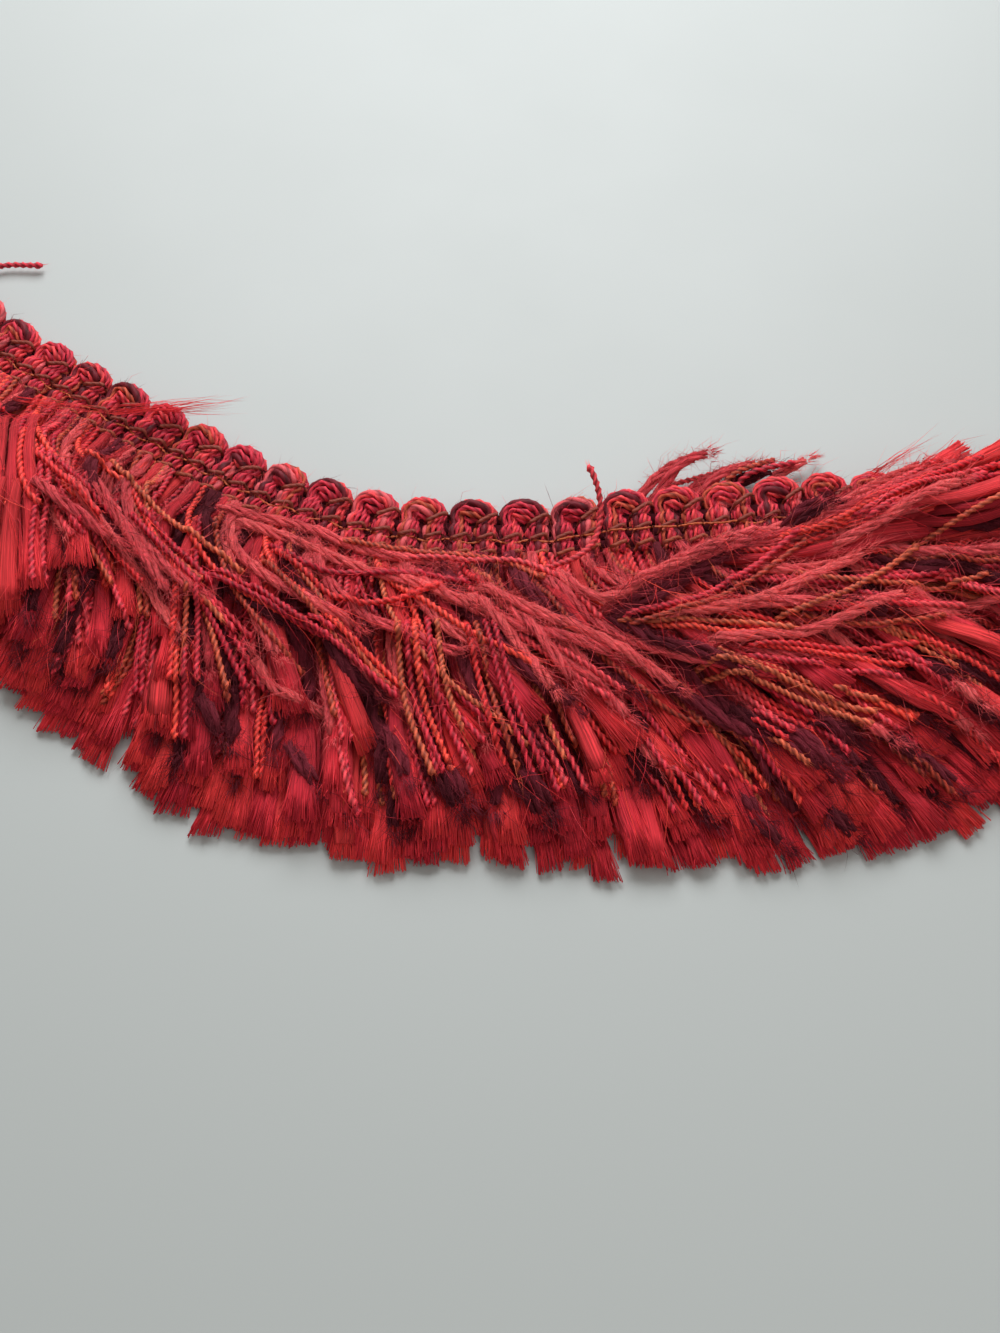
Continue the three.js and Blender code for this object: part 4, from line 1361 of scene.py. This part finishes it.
def wind_wool(spool: Spool, strand: Strand, make: Make, rng: Rng) -> None:
    """Adds a soft strand: uneven plies that turn slowly around each other, with a halo of fibres.

    Ply k of n runs beside the strand's middle at (0.6·wide·cos, 0.5·tall·sin)(twist + 2πk/n), and its own
    radius swells and thins along it.

    Args:
        spool: where it goes.
        strand: its path and colour.
        make: its yarn.
        rng: the source of chance.
    """
    corners, ragged, end_size = 5, 1.6, 0.55
    swing, swell = 0.5, 0.2
    distances = rings_along(strand, make)
    middle = resampled(strand.path, distances)
    across, up = sides(unit(np.gradient(middle, axis=0)))
    share = 1.1 / math.sqrt(make.plies + 1.5)  # a ply's size, for 1 of the strand's
    start = rng.uniform(0, TURN)
    for k in range(make.plies):
        keep = max(int(len(distances) - rng.uniform(0, ragged) / make.fine), 4)
        sway = swing * np.sin(TURN * distances / rng.uniform(8, 15) + rng.uniform(0, 6))
        twist = start + TURN * (k / make.plies - distances / make.pitch) + sway
        side = 0.6 * make.wide * np.cos(twist)[:, None] * across
        path = middle + side + 0.5 * make.tall * np.sin(twist)[:, None] * up
        keep_above(0.45 * make.tall, path)
        size = 1 + swell * np.sin(TURN * distances / rng.uniform(4, 9) + rng.uniform(0, 6))
        size[keep - 1] *= end_size
        rough = 1 + rng.uniform(-0.22, 0.2, (keep, corners))
        turned = np.full(keep, rng.uniform(0, 6))
        wide, tall = make.wide * share * size[:keep], make.tall * share * size[:keep]
        tint = (float(np.clip(strand.tint[0] + rng.normal(0, 0.15), 0, 1)), strand.tint[1])
        spool.tube(path[:keep], wide, tall, *lobes(corners, 1.0), turned, tint, rough)
    add_fuzz(spool, strand, make, rng)
    add_tuft(spool, strand, make, rng)


@dataclass(frozen=True)
class Brush:
    """How a bundle of floss is ribbed, and how it opens into a blunt brush of filaments at its end."""

    fans: tuple = (1.6, 2.4)  # how many times wider the end is than the body
    opens: float = 0.35  # share of the body that stays closed
    flattened: float = 0.25  # how much flatter its end is
    body_ends: float = 2.0  # how far the body stops short of the tip
    long: float = 11.0  # length that shows, from which the body has more ribs
    ribs: tuple = (10, 16)
    rib: float = 0.03  # how far the ribs stand out
    grooves: tuple = (-0.28, -0.12)
    rough: float = 0.06
    end_size: float = 0.85
    filaments: tuple = (24, 84)  # at a buried tip, and at one that shows
    backs: tuple = (12, 15)  # how far before the tip the filaments' starts begin
    starts: float = 10.0  # how far those starts are spread
    outer: int = 3  # of four filaments, those that lie on the outside
    inner: tuple = (0.1, 0.9)  # where the others lie, as shares of the way out
    slants: tuple = (-0.5, 0.5)  # how askew the end is cut
    past: float = 0.5  # how far the longest filament passes the tip
    short: float = 0.7  # how much shorter than that they are on average
    stray: tuple = (0.12, 1.5, 1.05)  # share of filaments that spread wide, how wide, and the others
    floor: float = 0.12  # the least height of a filament's ends
    radii: tuple = (0.065, 0.11)
    tint: tuple = (0.05, 0.16)  # how much paler than the body the filaments are, and how they differ


BRUSH = Brush()


def wind_floss(spool: Spool, strand: Strand, make: Make, rng: Rng) -> None:
    """Adds a bundle of floss: a ribbed body that opens into a flat blunt brush of filaments.

    The body's half width is wide·(1 + (fan - 1)·opened), where opened is a smoothstep over its last part.
    A filament runs from (a, b) in the body's section to (a, b) in the end's, with (a, b) on a circle, or
    within it for one in four.

    Args:
        spool: where it goes.
        strand: its path and colour.
        make: its yarn.
        rng: the source of chance.
    """
    fan = rng.uniform(*BRUSH.fans)
    distances = rings_along(strand, make)
    distances = distances * (distances[-1] - BRUSH.body_ends) / distances[-1]
    path = resampled(strand.path, distances)
    opened = smoothstep((distances / distances[-1] - BRUSH.opens) / (1 - BRUSH.opens))
    wide = make.wide * (1 + (fan - 1) * opened)
    tall = make.tall * (1 - BRUSH.flattened * opened)
    corners = BRUSH.ribs[np.count_nonzero(strand.shown) * STEP > BRUSH.long]
    angles = (np.arange(corners) + rng.uniform(-0.3, 0.3, corners)) * TURN / corners
    grooves = rng.uniform(*BRUSH.grooves, corners)
    radii = 1 + np.where(np.arange(corners) % 2, grooves, BRUSH.rib)
    rough = 1 + BRUSH.rough * rng.normal(0, 1, (len(path), corners))
    rough[-1] *= BRUSH.end_size
    spool.tube(path, wide, tall, angles, radii, np.zeros(len(path)), strand.tint, rough)

    count = BRUSH.filaments[strand.tip_shown]
    back, end = strand.path[-int(rng.uniform(*BRUSH.backs) / STEP)], strand.path[-1]
    ahead = unit(end - back)
    across, up = sides(ahead)
    turn = rng.uniform(0, TURN, count) - 0.4
    turn = np.where(np.sin(turn) < -0.3, -turn, turn)  # more of them on top, where they show
    deep = np.where(np.arange(count) % 4 < BRUSH.outer, 1.0, rng.uniform(*BRUSH.inner, count))
    a, b = (deep * np.cos(turn))[:, None], (deep * np.sin(turn))[:, None]
    base = back + rng.uniform(0, BRUSH.starts, count)[:, None] * ahead
    base = base + 0.45 * (make.wide + wide[-1]) * a * across + 0.85 * make.tall * b * up
    slant = rng.uniform(*BRUSH.slants)
    reach = BRUSH.past - rng.exponential(BRUSH.short, count)[:, None] + slant * a
    straying, spread, usual = BRUSH.stray
    splay = np.where(rng.random(count) < straying, spread, usual)[:, None]
    tip = end + reach * ahead + splay * wide[-1] * a * across
    tip = tip + 1.1 * tall[-1] * b * up + rng.normal(0, 0.1, (count, 3))
    keep_above(BRUSH.floor, base, tip)
    tint = np.clip(strand.tint[0] + rng.normal(*BRUSH.tint, count), 0, 1)
    tints = np.stack([tint, turn / 7], axis=1)
    # From the tip back, because a filament is thickest at the blunt cut end
    spool.hairs(np.stack([tip, base], axis=1), rng.uniform(*BRUSH.radii, count), tints)


def add_fuzz(spool: Spool, strand: Strand, make: Make, rng: Rng) -> None:
    """Adds the loose fibres that stand out of a strand where it shows: mostly short, a few long and bent.

    Args:
        spool: where they go.
        strand: its path and colour.
        make: its yarn.
        rng: the source of chance.
    """
    rooted, long_share, long_size, low = 0.75, 0.16, 1.8, 0.06
    shown = np.flatnonzero(strand.shown)
    count = int(make.hairs * STEP * len(shown))
    if count == 0:
        return
    spots = rng.choice(shown, count)
    ahead = unit(np.gradient(strand.path, axis=0))[spots]
    across, up = sides(ahead)
    angle = rng.uniform(-0.3, np.pi + 0.3, count)
    side, rise = np.cos(angle)[:, None], np.sin(angle)[:, None]
    outward = across * side + up * rise
    base = strand.path[spots] + rooted * (make.wide * side * across + make.tall * rise * up)
    length = make.hair * rng.uniform(0.35, 1.2, count)[:, None]
    way = ahead * rng.choice([-1.0, 1.0, 1.0], count)[:, None]
    tint = np.clip(np.tile(strand.tint, (count, 1)) + rng.normal(0, 0.2, (count, 2)), 0, 1)
    radius = rng.uniform(0.025, 0.05, count)
    long = rng.random(count) < long_share
    tip = base + length * (0.45 * outward + 0.7 * way + rng.normal(0, 0.3, (count, 3)))
    keep_above(low, tip)
    spool.hairs(np.stack([base, tip], axis=1)[~long], radius[~long], tint[~long])
    length = length * long_size
    middle = base + length * (0.35 * outward + 0.35 * way + rng.normal(0, 0.14, (count, 3)))
    tip = middle + length * (0.1 * outward + 0.4 * way + rng.normal(0, 0.25, (count, 3)))
    keep_above(low, middle, tip)
    spool.hairs(np.stack([base, middle, tip], axis=1)[long], radius[long] * 0.8, tint[long])


def add_tuft(spool: Spool, strand: Strand, make: Make, rng: Rng) -> None:
    """Adds the frayed fibres at a strand's cut end.

    Args:
        spool: where they go.
        strand: its path and colour.
        make: its yarn.
        rng: the source of chance.
    """
    count, fray = make.frayed, make.fray
    end, ahead = strand.path[-1], unit(strand.path[-1] - strand.path[-4])
    base = end - ahead * rng.uniform(0.2, 1.5, (count, 1)) + rng.normal(0, 0.4 * make.wide, (count, 3))
    tip = base + ahead * rng.uniform(0.4, 1.0, (count, 1)) * (fray + 0.8)
    tip = tip + rng.normal(0, 0.22 * fray, (count, 3))
    keep_above(0.08, base, tip)
    tints = np.tile(strand.tint, (count, 1))
    spool.hairs(np.stack([base, tip], axis=1), rng.uniform(0.04, 0.08, count), tints)


@dataclass
class Heading:
    """The crocheted heading: in each scallop, one bundle of wefts goes up, turns back and comes down."""

    cords: int = 11
    bar: float = 1.95  # from the scallop's middle to each leg
    near: float = 5.9  # distance out of the legs' ends
    turn_back: float = -2.5  # and of the arch's
    rise: float = 0.8  # how far out the arch bulges past there
    middle: float = 2.25  # height of a bundle's middle
    wide: float = 1.72  # half the width of the ring on which the cords lie
    tall: float = 1.45  # half its height
    cord: float = 0.54  # a cord's radius
    shares: tuple = (0.1, 0.75, 0.4, 0.2, 0.6, 0.3, 0.92, 0.5, 0.15, 0.45, 0.25)  # each cord's colour
    woolly: float = 0.7  # the share from which a cord is wool, thicker and hairier than the others
    hairs: tuple = (20, 100)  # on a rayon cord and on wool
    pitches: tuple = (4.2, 6.0)  # along each for a full turn of its plies
    thin: float = 0.45  # a cord's radius where the bundle's size is 0, as a share of its full one
    spread: float = 0.2  # by how much the arch is wider than the legs
    spread_out: float = -1.1  # distance out from which the legs spread over one millimetre
    arch: tuple = (0.28, 0.44)  # share of a weft before its arch, and share of it in the arch
    arch_twist: float = 0.9  # how far the bundle turns about itself over the arch
    lean: tuple = (0.4, 1.8)  # how far it turns along its whole length
    core: float = 1.3  # radius of the dark core of a full bundle, painted shade between its cords
    heart: tuple = ((-4.2, -3.0, -1.0), (0.6, 1.4, 0.9))  # a dark heart between the legs, painted shade there: distances out, and radii
    heart_height: float = 0.8  # its height, as a share of the bundle's
    # Distance out and radius of each row of ground yarn, dark with painted shade under the wefts
    grounds: tuple = ((-2.4, 1.1), (-0.4, 1.2), (1.8, 1.2), (3.8, 1.2), (5.2, 0.9))
    ground_height: float = 1.25
    ground_inset: float = 1.2  # how far inside the heading's two ends they stop
    # The bundle's size at distances out: full over the arch, and pinched by each row of stitches
    pinch_at: tuple = (-6, -3.9, -3.4, -2.5, -1.1, 0.5, 2.1, 3.6, 5.1, 6)
    pinch: tuple = (1.25, 1.25, 1.1, 0.72, 0.6, 0.9, 0.62, 0.88, 0.6, 0.7)

    def weft(self, first: float) -> tuple[Array, Array, Array]:
        """The middle line of one scallop's bundle: two legs and the half circle that joins them.

        Args:
            first: the scallop's first station.

        Returns:
            (n,) stations, (n,) distances out, and (n, 2) unit vectors in that plane, outwards.
        """
        centre = first + LIE.pitch / 2
        leg = np.arange(self.near, self.turn_back, -0.25)
        arc = np.linspace(0, np.pi, 25)
        swell = 1 + self.spread * smoothstep(self.spread_out - leg)
        wide = self.bar * (1 + self.spread)
        at = np.concatenate([-self.bar * swell, -wide * np.cos(arc), self.bar * swell[::-1]])
        out = np.concatenate([leg, self.turn_back - self.rise * np.sin(arc), leg[::-1]])
        ahead = unit(np.gradient(np.stack([at, out], axis=1), axis=0))
        return centre + at, out, np.stack([ahead[:, 1], -ahead[:, 0]], axis=1)

    def height(self, size: Array) -> Array:
        """Height over its back of the middle of a bundle, which sinks where it is pinched."""
        return self.middle * (0.5 + 0.5 * size)

    def build(self, rng: Rng) -> None:
        """Makes the wefts' piece and the ground yarns'.

        Args:
            rng: the source of chance.
        """
        wefts = Spool()
        for n in range(LIE.count):
            self.wind_scallop(wefts, LIE.first + n * LIE.pitch, rng)
        wefts.piece("heading_wefts", "heading", "heading_braid", WEFT.material())
        self.fill_ground().piece("heading_ground_and_shade", "heading", "heading_braid", GROUND_AND_SHADE.material())

    def wind_scallop(self, spool: Spool, first: float, rng: Rng) -> None:
        """Winds one scallop's cords: each runs beside the bundle's middle line, at an even share of a turn.

        Beside a point of size s, cord k is at s·(wide·cos, tall·sin)(start + 2πk/n + lean).

        Args:
            spool: where they go.
            first: the scallop's first station.
            rng: the source of chance.
        """
        at, out, side = self.weft(first)
        gone = along(np.stack([at, out], axis=1))
        share = gone / gone[-1]
        size = np.interp(out, self.pinch_at, self.pinch)
        over = smoothstep((share - self.arch[0]) / self.arch[1])
        lean = self.arch_twist * over + rng.uniform(*self.lean) * share
        start = rng.uniform(0, TURN)
        shares = rng.permutation(self.shares)
        for k in range(self.cords):
            turn = start + TURN * (k + rng.uniform(-0.2, 0.2)) / self.cords + lean
            up = self.height(size) + self.tall * size * np.sin(turn) + LIE.lift(at)
            sideways = self.wide * size * np.cos(turn)
            path = LIE.place(at + side[:, 0] * sideways, out + side[:, 1] * sideways, up)
            total = along(path)[-1]
            distances = np.linspace(0, total, int(total / STEP) + 1)
            thick = np.interp(distances, along(path), self.cord * (self.thin + (1 - self.thin) * size))
            path = resampled(path, distances)
            wool = bool(shares[k] >= self.woolly)
            thick = thick * (1.2 if wool else rng.uniform(0.95, 1.1))
            twist = -TURN * distances / self.pitches[wool] + rng.uniform(0, 6)
            tint = (float(shares[k]), float(rng.uniform(0, 1)))
            section = lobes(5, 0.85) if wool else lobes(4, 0.6)
            spool.tube(path, thick, thick, *section, twist, tint)
            self.add_halo(spool, path, tint, self.hairs[wool], rng)

    def fill_ground(self) -> Spool:
        """Winds the dark yarns in the heading, dark as painted shade: a core in each bundle, a heart in
        each arch, and rows.

        Returns:
            The spool that holds them.
        """
        spool = Spool()
        for n in range(LIE.count):
            first = LIE.first + n * LIE.pitch
            at, out, _ = self.weft(first)
            gone = along(np.stack([at, out], axis=1))
            size = np.interp(out, self.pinch_at, self.pinch)
            core = LIE.place(at, out, self.height(size) + LIE.lift(at))[::3]
            share = np.linspace(0, 1, len(core))
            spool.rod(core, np.interp(share, gone / gone[-1], size) * self.core, (0.9, 0.1))
            high = self.heart_height * self.middle
            heart = LIE.place(first + LIE.pitch / 2, np.array(self.heart[0]), high)
            heart[:, 2] += float(LIE.lift(at[0]))
            spool.rod(heart, np.array(self.heart[1]), (0.5, 0.1))
        at = np.arange(LIE.first + self.ground_inset, LIE.end - self.ground_inset, 1.0)
        for out, thick in self.grounds:
            path = LIE.place(at, out, self.ground_height + LIE.lift(at))
            spool.rod(path, np.full(len(path), thick), (0.2, 0.1))
        return spool

    def add_halo(self, spool: Spool, path: Array, tint: tuple, count: int, rng: Rng) -> None:
        """Adds fibres that stand out of a weft, mostly along it and upwards.

        Args:
            spool: where they go.
            path: (n, 3) the weft's path.
            tint: its two shares of colour.
            count: how many there are.
            rng: the source of chance.
        """
        spots = rng.integers(2, len(path) - 2, count)
        ahead = unit(path[spots + 1] - path[spots - 1])
        outward = unit(rng.normal(0, 1, (count, 3)) + (0.0, 0.5, 0.7))
        base = path[spots] + 0.45 * self.cord * outward
        length = rng.uniform(0.6, 3.0, (count, 1)) * np.where(rng.random((count, 1)) < 0.12, 2.5, 1.0)
        middle = base + length * (0.3 * outward + 0.3 * ahead + rng.normal(0, 0.1, (count, 3)))
        tip = middle + length * (0.2 * outward + 0.2 * ahead + rng.normal(0, 0.2, (count, 3)))
        keep_above(0.06, middle, tip)
        tints, radius = np.tile(tint, (count, 1)), rng.uniform(0.025, 0.045, count)
        bent = rng.random(count) < 0.3
        spool.hairs(np.stack([base, middle, tip], axis=1)[bent], radius[bent], tints[bent])
        spool.hairs(np.stack([base, middle], axis=1)[~bent], radius[~bent], tints[~bent])


@dataclass(frozen=True)
class Stitches:
    """One row of binder stitches: each laps over the wefts at a slant and dips between them."""

    node: str
    out: float
    period: float  # from stitch to stitch
    radius: float
    slope: float  # how far out a stitch ends from where it starts
    start: float  # share of a scallop at which the first begins
    lap: float  # share of the period for which a stitch is on top
    tint: float
    top: float
    dip: float = 1.9  # how far the thread goes down between stitches


@dataclass
class Binders:
    """The three binder threads, and the straight gold thread that lies along the middle one."""

    rows: tuple = (
        Stitches("binder_far", -1.1, 8.0, 0.32, -1.7, 0.5, 0.46, 0.4, top=3.85, dip=2.4),
        Stitches("binder_middle", 2.1, 4.0, 0.31, -0.9, 0.05, 0.7, 0.35, top=3.7),
        Stitches("binder_near", 5.1, 4.0, 0.32, -0.8, 0.05, 0.72, 0.6, top=3.65),
    )
    inset: float = 0.8  # how far inside the heading's two ends the threads stop
    ring: float = 0.36  # between a thread's rings
    bend: float = 0.12  # share of the period in which a stitch rises or dips
    pitch: float = 2.2  # along a thread for a full turn of its plies
    straight: tuple = (2.75, 0.18, 3.95)  # distance out, radius and height of the gold thread
    sunk: float = 0.75  # how much lower it lies where the stitches hold it down
    free: tuple = (5.0, 11.0, 33.0, 38.0)  # the stations between which it comes up, lies free and goes down

    def build(self) -> None:
        """Makes one piece of each row.

        At a share p of its period, a stitch is on top by the product of smoothstep(p / bend) and
        smoothstep((lap - p) / bend + 1). The thread goes to the stitch's far side while it laps, and comes
        back underneath.
        """
        material = BINDER.material()
        at = np.arange(LIE.first + self.inset, LIE.end - self.inset, self.ring)
        for row in self.rows:
            spool = Spool()
            phase = (at - LIE.first) / row.period - row.start * LIE.pitch / row.period
            part = phase - np.floor(phase)
            on_top = smoothstep(part / self.bend) * smoothstep((row.lap - part) / self.bend + 1)
            slant = np.where(part < row.lap, part / row.lap, (1 - part) / (1 - row.lap))
            out = row.out + row.slope * (smoothstep(slant) - 0.5)
            path = LIE.place(at, out, LIE.lift(at) + row.top - row.dip * (1 - on_top))
            wide = row.radius * (0.85 + 0.3 * on_top)
            twist = -TURN * along(path) / self.pitch
            spool.tube(path, wide, wide, *lobes(6, 0.85), twist, (row.tint, 0.5))
            if row.node == "binder_middle":
                self.add_straight(spool, at, twist)
            spool.piece(f"{row.node}_thread", "binder", row.node, material)

    def add_straight(self, spool: Spool, at: Array, twist: Array) -> None:
        """Adds the gold thread, which sways by a sine of its station.

        Args:
            spool: where it goes.
            at: (n,) its stations.
            twist: (n,) how far its plies are turned there.
        """
        out, radius, top = self.straight
        held = 1 - np.interp(at, self.free, (0.0, 1.0, 1.0, 0.0))
        sway = (0.1 + 0.25 * held) * np.sin(at)
        path = LIE.place(at, out + sway, LIE.lift(at) + top - self.sunk * held)
        wide = np.full(len(path), radius)
        spool.tube(path, wide, wide, *lobes(6, 0.85), twist, (1.0, 0.5))


@dataclass(frozen=True)
class Lamp:
    """A square soft light: its name, place, side and power, and its colour."""

    name: str
    place: tuple
    size: float
    power: float
    colour: str


@dataclass
class Studio:
    """The floor, the camera and the soft light."""

    elevation: float = 60.0
    distance: float = 240.0
    target: tuple = (0.0, -23.2, 0.0)
    lens: float = 43.21  # for a sensor 36 wide: 1600 pixels over a picture 1333 high
    floor: float = 1500.0
    sky: str = "#F0ECE6"
    sky_strength: float = 0.32
    aim: tuple = (0.0, -10.0, 0.0)  # where the lamps point
    lamps: tuple = (
        Lamp("window", (0, 430, 430), 440, 5.0, "#F8FBFF"),
        Lamp("fill", (200, -260, 480), 400, 0.6, "#FFFFFF"),
    )

    def build_camera(self) -> None:
        """A camera that looks down at the trim from the skirt's side."""
        data = bpy.data.cameras.new("camera")
        data.lens, data.sensor_width = self.lens, 36.0
        data.clip_start, data.clip_end = 0.01, 10.0
        camera = bpy.data.objects.new("camera", data)
        lean = math.radians(self.elevation)
        back = np.array([0.0, -math.cos(lean), math.sin(lean)])
        camera.location = (np.array(self.target) + self.distance * back) * MM
        camera.rotation_euler = (math.pi / 2 - lean, 0.0, 0.0)
        bpy.context.scene.collection.objects.link(camera)
        bpy.context.scene.camera = camera

    def build_floor(self) -> None:
        """A wide plain floor under everything."""
        half = self.floor / 2 * MM
        corners = [(-half, -half, 0), (half, -half, 0), (half, half, 0), (-half, half, 0)]
        mesh = bpy.data.meshes.new("floor")
        mesh.from_pydata(corners, [], [(0, 1, 2, 3)])
        mesh.materials.append(FloorFinish().material())
        floor = bpy.data.objects.new("floor", mesh)
        bpy.context.scene.collection.objects.link(floor)

    def build_lamp(self, lamp: Lamp) -> None:
        """A square soft light that points at the trim.

        Args:
            lamp: the light.
        """
        data = bpy.data.lights.new(lamp.name, "AREA")
        data.size, data.energy, data.color = lamp.size * MM, lamp.power, linear(lamp.colour)[:3]
        light = bpy.data.objects.new(lamp.name, data)
        light.location = np.array(lamp.place) * MM
        way = np.array(self.aim) * MM - np.array(light.location)
        light.rotation_euler = Vector(way).to_track_quat("-Z", "Y").to_euler()
        bpy.context.scene.collection.objects.link(light)

    def build(self) -> None:
        """Makes the camera, the floor, the sky and the lamps."""
        self.build_camera()
        self.build_floor()
        world = bpy.data.worlds.new("studio")
        world.use_nodes = True
        background = world.node_tree.nodes["Background"]
        background.inputs["Color"].default_value = linear(self.sky)
        background.inputs["Strength"].default_value = self.sky_strength
        bpy.context.scene.world = world
        for lamp in self.lamps:
            self.build_lamp(lamp)
        bpy.context.scene.view_settings.view_transform = "Standard"


def main() -> None:
    """Builds the trim and its studio in order."""
    logging.basicConfig(level=logging.INFO, format="%(name)s: %(message)s")
    rng = np.random.default_rng(SEED)
    Studio().build()
    skirt = Skirt()
    skirt.lay(rng)
    LOG.info("%d strands, %.1f mm high", len(skirt.strands), skirt.pile.tops.max())
    skirt.build(rng)
    Heading().build(rng)
    Binders().build()


if __name__ == "__main__":
    main()
